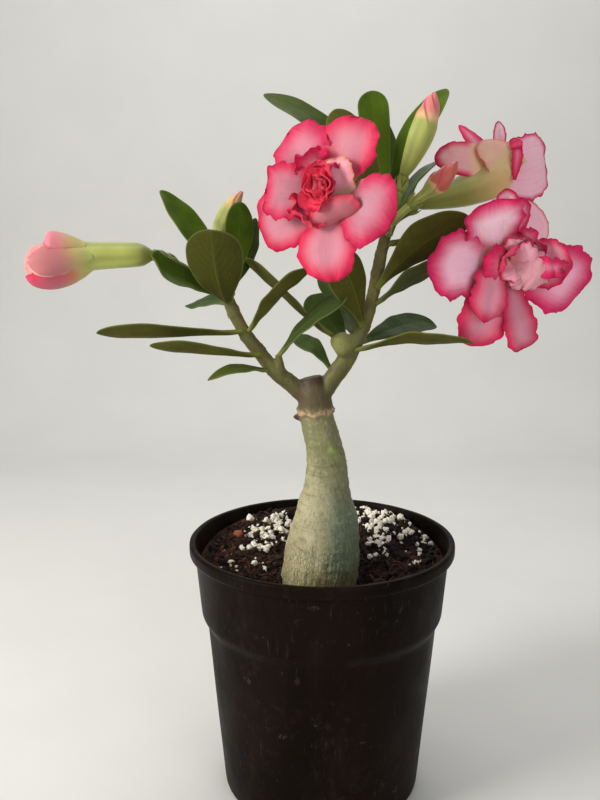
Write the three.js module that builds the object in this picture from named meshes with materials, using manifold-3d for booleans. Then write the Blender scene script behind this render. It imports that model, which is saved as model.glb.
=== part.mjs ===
// A desert rose (Adenium obesum) with double pink flowers, growing in a black nursery pot.
//
// Millimetres, +Z up, -Y is the front. The origin is the centre of the pot's underside.
// Every piece is one closed solid: the pot, the soil, the woody caudex with its branches, each leaf,
// and the stalk, tube and petals of each flower. Pieces that touch on the plant are cut to stand a
// small gap apart, so a leaf can be lifted off its branch and a petal off its tube.
import * as THREE from "three";
import { mergeVertices } from "three/addons/utils/BufferGeometryUtils.js";
import Module from "manifold-3d";

const wasm = await Module();
wasm.setup();

// ---------------------------------------------------------------- driving dimensions

const GAP = 0.35; // between pieces that touch on the plant

const POT = {
  height: 128,
  rimRadius: 65,
  mouthRadius: 62.1,
  lipDepth: 6,
  collarTopRadius: 62.2,
  collarFootRadius: 59.5,
  collarFoot: 92,
  bodyTopRadius: 56.8,
  bodyTop: 87,
  footRadius: 49.2,
  wall: 1.3,
  floor: 3.2,
  channelRise: 1.5, // the ring-shaped channel under the floor that the drain holes open into
  channelInner: 20,
  channelOuter: 43,
  drainHoles: 6,
  drainRadius: 4.5,
  drainRing: 32,
  segments: 40,
};

// The soil climbs by rise towards the back, and sinks by dip round the caudex, which stands at foot.
const SOIL = { level: 117.5, rise: 0.12, dip: 10, dipWidth: 30, foot: [-2, -12], edge: 58.6, segments: 32 };

const LEAF = { thickness: 1.2, stations: 7, fold: 0.16 };
const PETAL = { thickness: 1.1, stations: 7, fold: 0.12, mouth: 4.6 };
const INNER_PETAL = { thickness: 1.1, stations: 5 };

const MATERIALS = {
  pot: { color: "#17130f", roughness: 0.55 },
  soil: { color: "#2a1810", roughness: 1 },
  wood: { color: "#8c8d68", roughness: 0.8 },
  leaf: { color: "#3f5a22", roughness: 0.5 },
  stalk: { color: "#7d9440", roughness: 0.6 },
  tube: { color: "#a3ab5c", roughness: 0.6 },
  petal: { color: "#e0568a", roughness: 0.6 },
};

// ---------------------------------------------------------------- the plant's measurements

// Woody stems as points and radii along each, all grown together.
const STEMS = [
  {
    // caudex, from the buried tap root to the pruned top
    path: [
      [0, -12, 66], [-1, -12, 80], [-2, -12, 96], [-1.5, -12, 108], [-0.5, -11.5, 116], [0.5, -10, 126], [1.7, -8, 137],
      [1.7, -6, 147], [2.1, -4, 157], [1.7, -2.5, 168], [-0.4, -1.5, 179], [-2.6, 0, 188], [-3.4, 0, 193], [-4.2, 0, 200],
      [-6, 0, 207.5],
    ],
    radii: [2, 8, 15.5, 18, 18.2, 17.6, 16.1, 13.4, 10.8, 9.2, 8.5, 8.1, 8.3, 7.4, 5.2],
    sides: 16,
  },
  {
    // left branch
    path: [
      [-4, 0, 196], [-10, 0, 200], [-16, 0, 205], [-22, -1, 210], [-28, -1, 217], [-35, -2, 226],
      [-40, -3, 235], [-44, -4, 244], [-46, -4, 250],
    ],
    radii: [4.4, 4.3, 4.0, 3.8, 3.5, 3.2, 3.0, 3.0, 2.2],
    sides: 8,
  },
  {
    // right branch
    path: [
      [-3, 0, 196], [1, 0, 201.5], [5.5, 0, 208], [9.8, 0, 214], [13, 0, 220.5], [16.8, 0.5, 227.5], [20.6, 1.5, 236],
      [23.4, 3, 246], [25.6, 4, 257], [27.8, 6, 268], [30, 8, 277], [31, 9, 282],
    ],
    radii: [4.6, 4.6, 4.4, 4.4, 4.5, 3.7, 3.3, 3.0, 3.0, 2.8, 2.7, 2.0],
    sides: 8,
  },
  { path: [[12, 0, 217], [10, -2, 222], [8, -3, 226], [7, -3, 228.5]], radii: [3.6, 4.8, 4.9, 3.4], sides: 8 }, // cut stub
  { path: [[-18, 0, 206], [-20, -2, 212], [-21, -3, 219]], radii: [2.4, 2.2, 1.7], sides: 8 }, // side shoot
  { path: [[-7.5, 0, 188], [-11.5, -1, 188.2], [-14, -1, 189]], radii: [1.9, 1.6, 0.9], sides: 6 }, // dry thorn of a stub
];

// Leaves: where the stalk leaves the branch, where the tip is, which way the upper face looks,
// the blade's width, and how far the midrib arches towards the upper face.
const LEAVES = {
  leaf_left_01: { base: [-37, -5, 230], tip: [-103, -18, 230], face: [0, 0.48, 0.88], width: 17, arch: -1 },
  leaf_left_02: { base: [-29, -5, 219], tip: [-78, -22, 225], face: [0, 0.45, 0.9], width: 14, arch: -1 },
  leaf_left_03: { base: [-25, -3, 211], tip: [-52, -20, 210], face: [0.1, -0.35, 0.93], width: 11, arch: 3 },
  leaf_left_04: { base: [-43.5, -5.5, 243], tip: [-48.3, -36, 276], face: [0, 0.62, 0.78], width: 25, arch: -7 },
  leaf_left_05: { base: [-45, -5, 248], tip: [-75, -2, 294], face: [0.6, -0.65, 0.45], width: 15, arch: 3 },
  leaf_left_06: { base: [-45.5, -5.5, 247], tip: [-77, -27, 262], face: [0.25, -0.6, 0.75], width: 16, arch: -2 },
  leaf_left_07: { base: [-44.5, -2, 243], tip: [-67, 24, 240], face: [0.1, -0.6, 0.75], width: 15, arch: 1 },
  leaf_left_08: { base: [-43, -3, 249], tip: [-38.5, -2, 289], face: [0.5, -0.85, 0], width: 15, arch: 2 },
  leaf_left_09: { base: [-44, -2.5, 246], tip: [-33, 22, 282], face: [0.7, -0.6, 0], width: 11, arch: 2 },
  leaf_left_10: { base: [-35.5, -4, 229], tip: [-6, -18, 260], face: [-0.6, 0.4, 0.6], width: 16, arch: 2 },
  leaf_left_11: { base: [-20.8, -3.5, 218], tip: [11, -9, 247], face: [-0.5, -0.45, 0.7], width: 15, arch: 3 },
  leaf_right_01: { base: [5, 0, 227], tip: [-40, 5, 266], face: [0.6, 0.35, 0.7], width: 15, arch: -1 },
  leaf_right_02: { base: [12.5, 2.5, 222], tip: [-6, 29, 245], face: [-0.3, -0.6, 0.7], width: 17, arch: -2 },
  leaf_right_03: { base: [15.5, 3, 227], tip: [10, 37, 244], face: [0.2, -0.7, 0.7], width: 16, arch: -3 },
  leaf_right_04: { base: [4.5, 3, 210], tip: [-14, 16, 225], face: [0.1, -0.6, 0.8], width: 11, arch: 4 },
  leaf_right_05: { base: [18.2, -1.5, 231.5], tip: [6, -12, 268], face: [-0.5, 0.75, 0.2], width: 20, arch: -3 },
  leaf_right_06: { base: [18, 5, 233], tip: [-1, 22, 259], face: [-0.7, -0.3, 0.6], width: 13, arch: 2 },
  leaf_right_07: { base: [25, 1, 250], tip: [65, -10, 282], face: [-0.5, 0.8, 0.2], width: 23, arch: 5 },
  leaf_right_08: { base: [24, 1, 242], tip: [58, -5, 264], face: [-0.35, 0.6, 0.7], width: 14, arch: 1 },
  leaf_right_09: { base: [15.6, 2.2, 223], tip: [56, 38, 231], face: [-0.2, -0.6, 0.75], width: 20, arch: 2 },
  leaf_right_10: { base: [14.8, -3.2, 221], tip: [68, -17, 226], face: [0, 0.4, 0.9], width: 17, arch: 3 },
  leaf_right_11: { base: [28, 7.5, 273], tip: [-28, 17, 339], face: [0.55, -0.62, 0.55], width: 19, arch: 14 },
  leaf_right_12: { base: [29, 6, 275], tip: [5, 2, 330], face: [-0.2, 0.9, 0.2], width: 20, arch: -5 },
  leaf_right_13: { base: [30.2, 9.5, 279], tip: [22.6, 25, 343], face: [0, -0.9, 0.3], width: 15, arch: -5 },
  leaf_right_14: { base: [31, 9.5, 277], tip: [57, 17, 341], face: [-0.65, -0.65, 0.3], width: 19, arch: 8 },
  leaf_right_15: { base: [29.6, 9.5, 275], tip: [28, 38, 331], face: [0.3, -0.85, 0.4], width: 19, arch: -2 },
  leaf_right_16: { base: [29.4, 8.5, 271], tip: [28, 52, 309], face: [0.2, -0.6, 0.8], width: 19, arch: -2 },
  leaf_right_17: { base: [31, 8, 274], tip: [58, 38, 312], face: [-0.5, -0.1, 0.85], width: 14, arch: 4 },
};

// Flowers: a stalk with its calyx, a tube that widens to the throat, and petals round the throat.
// clock is a petal's direction round the face, 0 up and clockwise as seen from the front of it; reach
// and rise are where its tip is, out from the axis and forward along it. face is given for a petal that
// is twisted out of its natural attitude. The inner petals of a double flower are grown together.
const FLOWERS = {
  flower_front: {
    stalk: [[30, 6, 274], [30, -1, 276], [28, -6, 278]],
    tube: [[27.5, -7, 278.3], [21, -15, 281.5], [13, -23.5, 286], [5.3, -30, 290]],
    tubeRadii: [2.2, 4.4, 4.4, 5.4],
    facing: [-0.42, -0.88, 0.16],
    petals: [
      { clock: 17, reach: 33, rise: 3, width: 26, arch: 3 },
      { clock: 112, reach: 30, rise: 6, width: 31, arch: 3 },
      { clock: 181, reach: 36, rise: 3, width: 28, arch: 3 },
      { clock: 251, reach: 40, rise: -2, width: 29, arch: 2 },
      { clock: 321, reach: 36, rise: 4, width: 27, arch: 3 },
    ],
    inner: [
      { clock: 274, reach: 29, rise: 9, width: 24, arch: 5 },
      { clock: 224, reach: 20, rise: 13, width: 18, arch: 4 },
      { clock: 176, reach: 13, rise: 13, width: 18, arch: 4 },
      { clock: 320, reach: 19, rise: 14, width: 16, arch: 4 },
      { clock: 268, reach: 12, rise: 17, width: 13, arch: 3 },
    ],
  },
  flower_right: {
    stalk: [[30, 6, 270], [37, 6, 271], [43, 6, 271]],
    tube: [[44.2, 6, 271], [56, 6, 271], [70, -1, 268.5], [80.2, -14, 264.3]],
    tubeRadii: [2.2, 4.4, 4.6, 5.4],
    facing: [0.24, -0.93, -0.25],
    petals: [
      { clock: 332, reach: 27, rise: 4, width: 29, arch: 3 },
      { clock: 265, reach: 36, rise: 5, width: 31, arch: 3 },
      { clock: 192, reach: 43, rise: 1, width: 25, arch: 3 },
      { clock: 160, reach: 45, rise: 6, width: 15, arch: 3 },
      { clock: 107, reach: 43, rise: 4, width: 32, arch: 3 },
    ],
    inner: [
      { clock: 213, reach: 33, rise: 10, width: 19, arch: 4 },
      { clock: 78, reach: 31, rise: 3, width: 20, arch: 3 },
      { clock: 97, reach: 24, rise: 15, width: 19, arch: 5 },
      { clock: 40, reach: 16, rise: 13, width: 14, arch: 3 },
    ],
  },
  flower_back: {
    stalk: [[31, 9, 278], [37, 12, 283], [43, 13, 287.5]],
    tube: [[43.4, 13.1, 287.8], [54, 14.5, 291.5], [67, 17, 294.5], [86, 23.5, 302]],
    tubeRadii: [2.4, 5.2, 7.6, 9.2],
    facing: [0.8, 0.46, 0.38],
    mouth: 8.6,
    petals: [
      { base: [79, 16, 304.5], tip: [53, 11, 309], face: [-0.1, -0.9, 0.3], width: 17, arch: 3 },
      { base: [86, 17.5, 300], tip: [78.5, 20, 319], face: [0.25, -0.9, 0.2], width: 19, arch: 2 },
      { base: [85.5, 22, 303.5], tip: [110, 31, 307], face: [0.15, -0.95, 0], width: 31, arch: 3 },
      { base: [82.5, 29, 306.5], tip: [67, 37, 328], face: [0, -1, 0.2], width: 10, arch: 2 },
      { base: [87.5, 23, 296], tip: [109, 33, 270], face: [0, -1, 0], width: 17, arch: 3 },
    ],
    inner: [],
  },
};

// Buds: a path with radii, from the stalk's foot to the tip.
const BUDS = {
  bud_left_stalk: {
    kind: "stalk",
    path: [[-45, -2, 248], [-58, -1, 255], [-70, -5, 262], [-77, -8, 265]],
    radii: [1.7, 1.7, 2.1, 2.9],
  },
  bud_left: {
    kind: "petal",
    path: [
      [-78, -8, 265.2], [-83, -9, 265], [-90, -9.5, 264.8], [-102, -11, 264.6], [-110, -12, 264.4],
      [-118, -13, 264], [-126, -14.5, 263.6], [-131, -15.5, 263.4], [-134, -16, 263],
    ],
    radii: [1.6, 4.4, 6.0, 6.8, 7.8, 11.4, 12.7, 10.8, 6.0],
  },
  bud_tall_stalk: {
    kind: "stalk",
    path: [[31, 7, 278], [33.5, 3, 286], [35, 1, 294], [36.5, 0, 301]],
    radii: [1.4, 1.5, 1.7, 2.5],
  },
  bud_tall: {
    kind: "petal",
    path: [[36.7, -0.1, 301.4], [38.5, -1, 306], [41.5, -2, 313], [44.5, -3, 321], [47, -3, 329], [49, -3, 336.5]],
    radii: [2.2, 4.6, 6.0, 5.8, 4.0, 1.0],
  },
  bud_small: {
    kind: "petal",
    path: [[31.5, 4, 279], [36, 1.5, 284.5], [41.5, -0.5, 289], [47.5, -2, 293.5], [53.5, -3, 299], [57.5, -3, 303.5], [60, -3, 306.5]],
    radii: [1.5, 1.9, 2.3, 2.9, 3.6, 3.2, 1.2],
  },
  bud_behind: {
    kind: "petal",
    path: [[-45.6, -2.5, 249], [-49, 7, 261], [-50, 11, 271], [-47.5, 12, 279.5], [-43, 12, 287.5], [-38, 12, 294]],
    radii: [1.4, 2.0, 3.8, 5.0, 4.2, 1.2],
  },
};

// ---------------------------------------------------------------- solids

const vec = (p) => new THREE.Vector3(...p);

// A closed BufferGeometry as a manifold-3d solid.
function toSolid(geometry) {
  const bare = geometry.index ? geometry.toNonIndexed() : geometry.clone();
  const merged = mergeVertices(new THREE.BufferGeometry().setAttribute("position", bare.getAttribute("position")), 1e-4);
  return new wasm.Manifold(
    new wasm.Mesh({
      numProp: 3,
      vertProperties: new Float32Array(merged.attributes.position.array),
      triVerts: new Uint32Array(merged.index.array),
    }),
  );
}

// The vertices and triangles of a solid as a BufferGeometry.
function toGeometry(solid) {
  const mesh = solid.getMesh();
  const geometry = new THREE.BufferGeometry();
  geometry.setAttribute("position", new THREE.BufferAttribute(mesh.vertProperties, 3));
  geometry.setIndex(new THREE.BufferAttribute(mesh.triVerts, 1));
  geometry.computeVertexNormals();
  return geometry;
}

// Skins a row of rings, each the same number of points turning anticlockwise about the direction of travel,
// and closes both ends with a fan.
function loft(rings) {
  const n = rings[0].length;
  const points = rings.flat();
  const first = points.push(centreOf(rings[0])) - 1;
  const last = points.push(centreOf(rings.at(-1))) - 1;
  const index = [];
  for (let i = 0; i + 1 < rings.length; i++) {
    for (let k = 0; k < n; k++) {
      const [a, b] = [i * n + k, i * n + ((k + 1) % n)];
      index.push(a, b, b + n, a, b + n, a + n);
    }
  }
  for (let k = 0; k < n; k++) {
    const next = (k + 1) % n;
    const top = (rings.length - 1) * n;
    index.push(first, next, k, last, top + k, top + next);
  }
  return new THREE.BufferGeometry().setFromPoints(points).setIndex(index);
}

function centreOf(ring) {
  return ring.reduce((sum, p) => sum.add(p), new THREE.Vector3()).divideScalar(ring.length);
}

// A value at fraction u along a list of evenly spaced values.
function along(values, u) {
  const x = u * (values.length - 1);
  const i = Math.min(Math.floor(x), values.length - 2);
  return THREE.MathUtils.lerp(values[i], values[i + 1], x - i);
}

// A round stem through points, with a radius at each: its rings stay square to the path.
function stemSolid({ path, radii, sides = 8 }, grow = 0) {
  const curve = new THREE.CatmullRomCurve3(path.map(vec), false, "centripetal");
  const spans = path.length - 1;
  const steps = spans < 4 ? 2 * spans : spans + 2;
  let across = new THREE.Vector3(0.31, -0.87, 0.38);
  const rings = [];
  for (let i = 0; i <= steps; i++) {
    const u = i / steps;
    const centre = curve.getPoint(u);
    const travel = curve.getTangent(u);
    across = across.clone().addScaledVector(travel, -across.dot(travel)).normalize();
    const other = travel.clone().cross(across);
    const radius = along(radii, u) + grow;
    const end = i === 0 ? -grow : i === steps ? grow : 0;
    rings.push(
      Array.from({ length: sides }, (_, k) => {
        const angle = (2 * Math.PI * k) / sides;
        return centre
          .clone()
          .addScaledVector(travel, end)
          .addScaledVector(across, radius * Math.cos(angle))
          .addScaledVector(other, radius * Math.sin(angle));
      }),
    );
  }
  return toSolid(loft(rings));
}

// Half-width of a spoon-shaped leaf along its length, as a share of the widest: a stalk, a long taper, a round tip.
function leafOutline(s) {
  const widest = 0.66;
  const stalk = 0.16;
  if (s > widest) return Math.max(0.1, Math.sqrt(1 - ((s - widest) / (1 - widest)) ** 2));
  const t = s / widest;
  return stalk + (1 - stalk) * t * t * (3 - 2 * t);
}

// Half-width of a petal: a narrow claw that opens quickly to a broad round lobe.
function petalOutline(s) {
  const widest = 0.62;
  const claw = 0.26;
  if (s > widest) return Math.max(0.2, (1 - ((s - widest) / (1 - widest)) ** 2.6) ** 0.45);
  const t = s / widest;
  return claw + (1 - claw) * Math.sin((t * Math.PI) / 2) ** 1.3;
}

// Half-section of a blade, sharp at both edges; a grown one is squared off there so that the gap stays even.
function bladeSection(half, thick, grow) {
  const [x, y] = [half + grow, thick + grow];
  const right = grow > 0 ? [[x, -grow], [x, grow]] : [[x, 0]];
  const left = right.map(([out, lift]) => [-out, -lift]);
  return [...right, [half / 2, y], [-half / 2, y], ...left, [-half / 2, -y], [half / 2, -y]];
}

// A thin blade from base to tip with a lens-shaped section, folded upwards along the midrib and arched along its length.
function bladeSolid({ base, tip, face, width, arch, fold }, outline, { thickness, stations }, grow = 0) {
  const start = vec(base);
  const chord = vec(tip).sub(start);
  const length = chord.length();
  const rings = [];
  const normal = vec(face);
  normal.addScaledVector(chord, -normal.dot(chord) / chord.lengthSq()).normalize();
  for (let i = 0; i <= stations; i++) {
    const s = 1 - (1 - i / stations) ** 1.35;
    const reach = s * length + (i === 0 ? -grow : i === stations ? grow : 0);
    const centre = start
      .clone()
      .addScaledVector(chord, reach / length)
      .addScaledVector(normal, arch * 4 * s * (1 - s));
    const travel = chord.clone().normalize().addScaledVector(normal, (arch * 4 * (1 - 2 * s)) / length).normalize();
    const side = normal.clone().cross(travel).normalize();
    const up = travel.clone().cross(side);
    const half = (outline(s) * width) / 2;
    const thick = (thickness / 2) * (s < 0.2 ? 1.5 : 1);
    rings.push(
      bladeSection(half, thick, grow).map(([out, lift]) => {
        const folded = lift + (2 * fold * Math.min(Math.abs(out), half) ** 2) / width;
        return centre.clone().addScaledVector(side, out).addScaledVector(up, folded);
      }),
    );
  }
  return toSolid(loft(rings));
}

// The petal's base and tip in the part's frame, from its place round the flower's throat. A petal of
// the half-turned flower at the back has them given.
function placedPetal({ tube, facing, mouth = PETAL.mouth }, { clock, reach, rise, width, arch, face, base, tip }) {
  if (base) return { base, tip, face, width, arch, fold: PETAL.fold };
  const throat = vec(tube.at(-1));
  const axis = vec(facing).normalize();
  const up = new THREE.Vector3(0, 0, 1).addScaledVector(axis, -axis.z).normalize();
  const right = up.clone().cross(axis);
  const angle = THREE.MathUtils.degToRad(clock);
  const out = up.multiplyScalar(Math.cos(angle)).addScaledVector(right, Math.sin(angle));
  const at = (radius, height) => throat.clone().addScaledVector(out, radius).addScaledVector(axis, height).toArray();
  // A petal's upper face looks forward along the flower, and inward for one that stands up.
  const natural = axis.clone().multiplyScalar(reach - mouth).addScaledVector(out, -rise).toArray();
  return { base: at(mouth - 1.6, -1), tip: at(reach, rise), face: face ?? natural, width, arch, fold: PETAL.fold };
}

// ---------------------------------------------------------------- the pieces, each cut clear of the earlier ones

const pieces = [];

function addPiece(name, material, make) {
  let solid = make(0);
  for (const other of pieces) {
    if (boxesMeet(solid.boundingBox(), other.grown.boundingBox())) solid = solid.subtract(other.grown);
  }
  const largest = solid.decompose().reduce((a, b) => (b.volume() > a.volume() ? b : a));
  pieces.push({ name, material, solid: largest, grown: make(GAP) });
}

function boxesMeet(a, b) {
  return [0, 1, 2].every((i) => a.min[i] < b.max[i] && b.min[i] < a.max[i]);
}

// The pot's outer wall from the foot up, as radius and height.
function potWall() {
  return [
    [POT.footRadius, 2.5],
    [POT.bodyTopRadius, POT.bodyTop],
    [POT.collarFootRadius, POT.collarFoot],
    [POT.collarTopRadius, POT.height - POT.lipDepth],
  ];
}

function potSolid() {
  const outside = potWall();
  const { height, wall, floor, lipDepth } = POT;
  const profile = [
    [0, 0],
    [POT.channelInner, 0],
    [POT.channelInner + 1.5, POT.channelRise],
    [POT.channelOuter, POT.channelRise],
    [POT.channelOuter + 1.5, 0],
    [POT.footRadius - 1.8, 0],
    [POT.footRadius - 0.6, 0.8],
    ...outside,
    [POT.rimRadius - 0.6, height - lipDepth + 0.2],
    [POT.rimRadius, height - lipDepth + 1],
    [POT.rimRadius, height - 1.4],
    [POT.rimRadius - 1.1, height],
    [POT.mouthRadius + 0.5, height],
    [POT.mouthRadius - 0.6, height - 1.2],
    ...outside.slice(1).reverse().map(([r, z]) => [r - wall, z]),
    [POT.footRadius - wall - 0.2, floor + 2],
    [POT.footRadius - wall - 2.2, floor],
    [0, floor],
  ];
  const lathe = new THREE.LatheGeometry(profile.map(([r, z]) => new THREE.Vector2(r, z)), POT.segments);
  let solid = toSolid(lathe.rotateX(Math.PI / 2));
  for (let i = 0; i < POT.drainHoles; i++) {
    const angle = (2 * Math.PI * (i + 0.5)) / POT.drainHoles;
    const hole = new THREE.CylinderGeometry(POT.drainRadius, POT.drainRadius, 12, 12).rotateX(Math.PI / 2);
    hole.translate(POT.drainRing * Math.cos(angle), POT.drainRing * Math.sin(angle), 3);
    solid = solid.subtract(toSolid(hole));
  }
  return solid;
}

// The soil fills the pot to below the rim. Its top climbs to the back and sinks round the caudex.
function soilHeight(x, y) {
  const away = Math.hypot(x - SOIL.foot[0], y - SOIL.foot[1]) / SOIL.dipWidth;
  return SOIL.level + SOIL.rise * y - SOIL.dip * Math.exp(-away * away);
}

function soilSolid() {
  const inset = POT.wall + GAP;
  const [foot, bodyTop, collarFoot] = potWall();
  const side = [
    [0, POT.floor + GAP],
    [foot[0] - inset - 2.6, POT.floor + GAP],
    [foot[0] - inset - 0.4, POT.floor + 2.4],
    [bodyTop[0] - inset - 0.1, bodyTop[1]],
    [collarFoot[0] - inset - 0.1, collarFoot[1] + 0.4],
    [SOIL.edge, 103],
  ];
  const top = [1, 0.86, 0.72, 0.58, 0.45, 0.3, 0.15, 0].map((share) => [SOIL.edge * share, 140]);
  const lathe = new THREE.LatheGeometry([...side, ...top].map(([r, z]) => new THREE.Vector2(r, z)), SOIL.segments);
  lathe.rotateX(Math.PI / 2);
  const place = lathe.getAttribute("position");
  for (let i = 0; i < place.count; i++) {
    if (place.getZ(i) > 139) place.setZ(i, soilHeight(place.getX(i), place.getY(i)));
  }
  return toSolid(lathe);
}

addPiece("caudex", "wood", (grow) =>
  STEMS.map((stem) => stemSolid(stem, grow)).reduce((all, stem) => all.add(stem)),
);
addPiece("pot", "pot", potSolid);
addPiece("soil", "soil", soilSolid);

for (const [name, flower] of Object.entries(FLOWERS)) {
  const petalSolid = (petal, form, grow) => bladeSolid(placedPetal(flower, petal), petalOutline, form, grow);
  addPiece(`${name}_stalk`, "stalk", (grow) => stemSolid({ path: flower.stalk, radii: [1.6, 1.8, 2.6] }, grow));
  addPiece(`${name}_tube`, "tube", (grow) => stemSolid({ path: flower.tube, radii: flower.tubeRadii }, grow));
  if (flower.inner.length) {
    addPiece(`${name}_inner_petals`, "petal", (grow) =>
      flower.inner.map((petal) => petalSolid(petal, INNER_PETAL, grow)).reduce((all, petal) => all.add(petal)),
    );
  }
  flower.petals.forEach((petal, i) => {
    addPiece(`${name}_petal_${i + 1}`, "petal", (grow) => petalSolid(petal, PETAL, grow));
  });
}

for (const [name, bud] of Object.entries(BUDS)) {
  addPiece(name, bud.kind, (grow) => stemSolid({ ...bud, sides: 10 }, grow));
}

for (const [name, leaf] of Object.entries(LEAVES)) {
  addPiece(name, "leaf", (grow) => bladeSolid({ ...leaf, fold: LEAF.fold }, leafOutline, LEAF, grow));
}

const plant = new THREE.Group();
for (const { name, material, solid } of pieces) {
  const mesh = new THREE.Mesh(toGeometry(solid), new THREE.MeshStandardMaterial(MATERIALS[material]));
  mesh.name = name;
  plant.add(mesh);
}

export default plant;
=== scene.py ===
# A desert rose in its nursery pot: pot, soil, swollen stem, leaves, buds and double flowers.
# Every shape is worked out in millimetres and turned to metres when its mesh is made.
import math

import bpy
import numpy as np
from mathutils import Matrix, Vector
from numpy.polynomial.polynomial import polyfit, polyval


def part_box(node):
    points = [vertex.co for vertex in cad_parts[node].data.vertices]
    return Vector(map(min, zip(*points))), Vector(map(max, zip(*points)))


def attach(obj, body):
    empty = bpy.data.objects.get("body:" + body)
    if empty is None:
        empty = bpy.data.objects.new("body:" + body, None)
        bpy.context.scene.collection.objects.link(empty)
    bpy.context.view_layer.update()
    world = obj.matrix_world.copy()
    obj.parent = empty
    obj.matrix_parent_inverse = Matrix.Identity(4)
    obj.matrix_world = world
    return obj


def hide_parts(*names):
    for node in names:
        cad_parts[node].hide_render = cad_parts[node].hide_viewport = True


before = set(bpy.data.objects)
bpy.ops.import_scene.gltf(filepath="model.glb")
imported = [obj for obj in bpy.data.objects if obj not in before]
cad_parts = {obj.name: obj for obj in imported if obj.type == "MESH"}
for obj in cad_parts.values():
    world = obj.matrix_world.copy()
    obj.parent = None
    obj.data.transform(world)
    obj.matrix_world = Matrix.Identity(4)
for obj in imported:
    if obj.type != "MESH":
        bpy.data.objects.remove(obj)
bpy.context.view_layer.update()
mm = 0.001  # a millimetre in metres
fullTurn = 2 * math.pi
print("frame loaded:", len(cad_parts), "nodes")


def boxOf(node):
    low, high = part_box(node)
    return np.array(low) / mm, np.array(high) / mm


def pull(items, field, kind=np.float32):
    # one field of many mesh items, three values each
    values = np.empty(len(items) * 3, kind)
    items.foreach_get(field, values)
    return values.reshape(-1, 3)


def trianglesOf(node):
    # corner points of the node's triangles, n x 3 x 3
    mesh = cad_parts[node].data
    mesh.calc_loop_triangles()
    return pull(mesh.vertices, "co")[pull(mesh.loop_triangles, "vertices", np.int32)].astype(float) / mm


def unit(vector):
    return vector / np.maximum(np.linalg.norm(vector, axis=-1, keepdims=True), 1e-9)


def endNearest(points, target):
    # the mean of the few points that lie closest to the target cloud
    gaps = ((points[:, None] - target[None]) ** 2).sum(2).min(1)
    return points[np.argsort(gaps)[:8]].mean(0)


def spreadOf(node, steps=6):
    # points over every triangle at corner weights i, j, k out of steps, each with its triangle's area, then
    # their centre of area and their three main directions, the shortest first
    triangles = trianglesOf(node)
    i, j = np.meshgrid(np.arange(steps + 1), np.arange(steps + 1))
    inside = i + j <= steps
    weights = np.stack([i[inside], j[inside], steps - i[inside] - j[inside]], 1) / steps
    points = np.einsum("kc,ncd->nkd", weights, triangles).reshape(-1, 3)
    a, b, c = triangles.transpose(1, 0, 2)
    area = np.repeat(np.linalg.norm(np.cross(b - a, c - a), axis=1), len(weights))
    middle = (points * area[:, None]).sum(0) / area.sum()
    spread = points - middle
    return points, area, middle, np.linalg.eigh((spread * area[:, None]).T @ spread)[1]


def readBlade(node, parent):
    # a leaf's or petal's place: root, directions along, side and face, length, half-width, and two fits,
    # centre line = c0 + c1 s + c2 s^2 sideways, lift = l0 + l1 s + l2 s^2 + l3 s^3 + l4 o + l5 o s + l6 o^2,
    # where s runs from 0 to 1 along the blade and o is the distance out from its centre line
    points, area, middle, axes = spreadOf(node)
    root, face = endNearest(points[::5], parent), axes[:, 0]
    along = unit((middle - root) - face * ((middle - root) @ face))
    side = np.cross(face, along)
    run, out, lift = (points - root) @ along, (points - root) @ side, (points - root) @ face
    low, length = run.min(), run.max() - run.min()
    s, slices = (run - low) / length, 12
    cuts = np.clip((s * slices).astype(int), 0, slices - 1)
    edges = np.array([np.percentile(out[cuts == k], [1, 99]) if (cuts == k).any() else (0, 0) for k in range(slices)])
    centre = polyfit((np.arange(slices) + 0.5) / slices, edges.mean(1), 2)
    half = np.sort((edges[:, 1] - edges[:, 0]) / 2)[-2]
    o = out - polyval(s, centre)
    terms = np.stack([np.ones_like(s), s, s * s, s**3, o, o * s, o * o], 1)
    fit = np.linalg.lstsq(terms * np.sqrt(area)[:, None], lift * np.sqrt(area), rcond=None)[0]
    if fit[6] < 0:  # the upper face is the hollow one
        face, side, fit, centre = -face, -side, fit * [-1, -1, -1, -1, 1, 1, -1], -centre
    return dict(root=root + along * low, along=along, side=side, face=face, length=length, half=half,
                centre=centre, fit=fit)


def readStem(node, parent, cuts=20):
    # centre line and radii of a round piece, sliced square to its long direction, from the parent's end
    points, _, middle, axes = spreadOf(node)
    along, across, other = axes[:, 2], axes[:, 1], axes[:, 0]
    if (endNearest(points[::5], parent) - middle) @ along > 0:
        along = -along
    run = (points - middle) @ along
    low, length = run.min(), run.max() - run.min()
    s, places = (run - low) / length, (np.arange(cuts) + 0.5) / cuts
    centres, radii = [], []
    for at in places:
        here = points[(np.abs(s - at) < 0.6 / cuts) & (s > 0.003) & (s < 0.997)] - middle
        a, b = here @ across, here @ other
        midA, midB = (a.max() + a.min()) / 2, (b.max() + b.min()) / 2
        centres.append(middle + across * midA + other * midB + along * (low + at * length))
        radii.append(np.hypot(a - midA, b - midB).mean() * 1.03)
    radii = np.array([1.5 * radii[0] - 0.5 * radii[1]] + radii + [1.5 * radii[-1] - 0.5 * radii[-2]]).clip(0.5)
    curve = [polyfit(places, np.array(centres)[:, axis], 3) for axis in range(3)]
    return dict(curve=np.array(curve), radii=radii, places=np.concatenate([[0], places, [1]]))


def stemAt(stem, u):
    # centre points and radii of a read stem at fractions u of its length
    return polyval(u, stem["curve"].T).T, np.interp(u, stem["places"], stem["radii"])


def softNoise(points, size, seed, octaves=3):
    # a sum of sine waves in random directions, each octave half as large and half as strong, about -1 to 1
    waves = np.random.default_rng(seed)
    total = np.zeros(points.shape[:-1])
    for octave in range(octaves):
        turns = waves.normal(size=(3, 8)) * fullTurn / size * 2**octave / 1.7
        total += np.sin(points @ turns + waves.uniform(0, fullTurn, 8)).mean(-1) * 0.5**octave
    return total * 2.0


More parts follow.
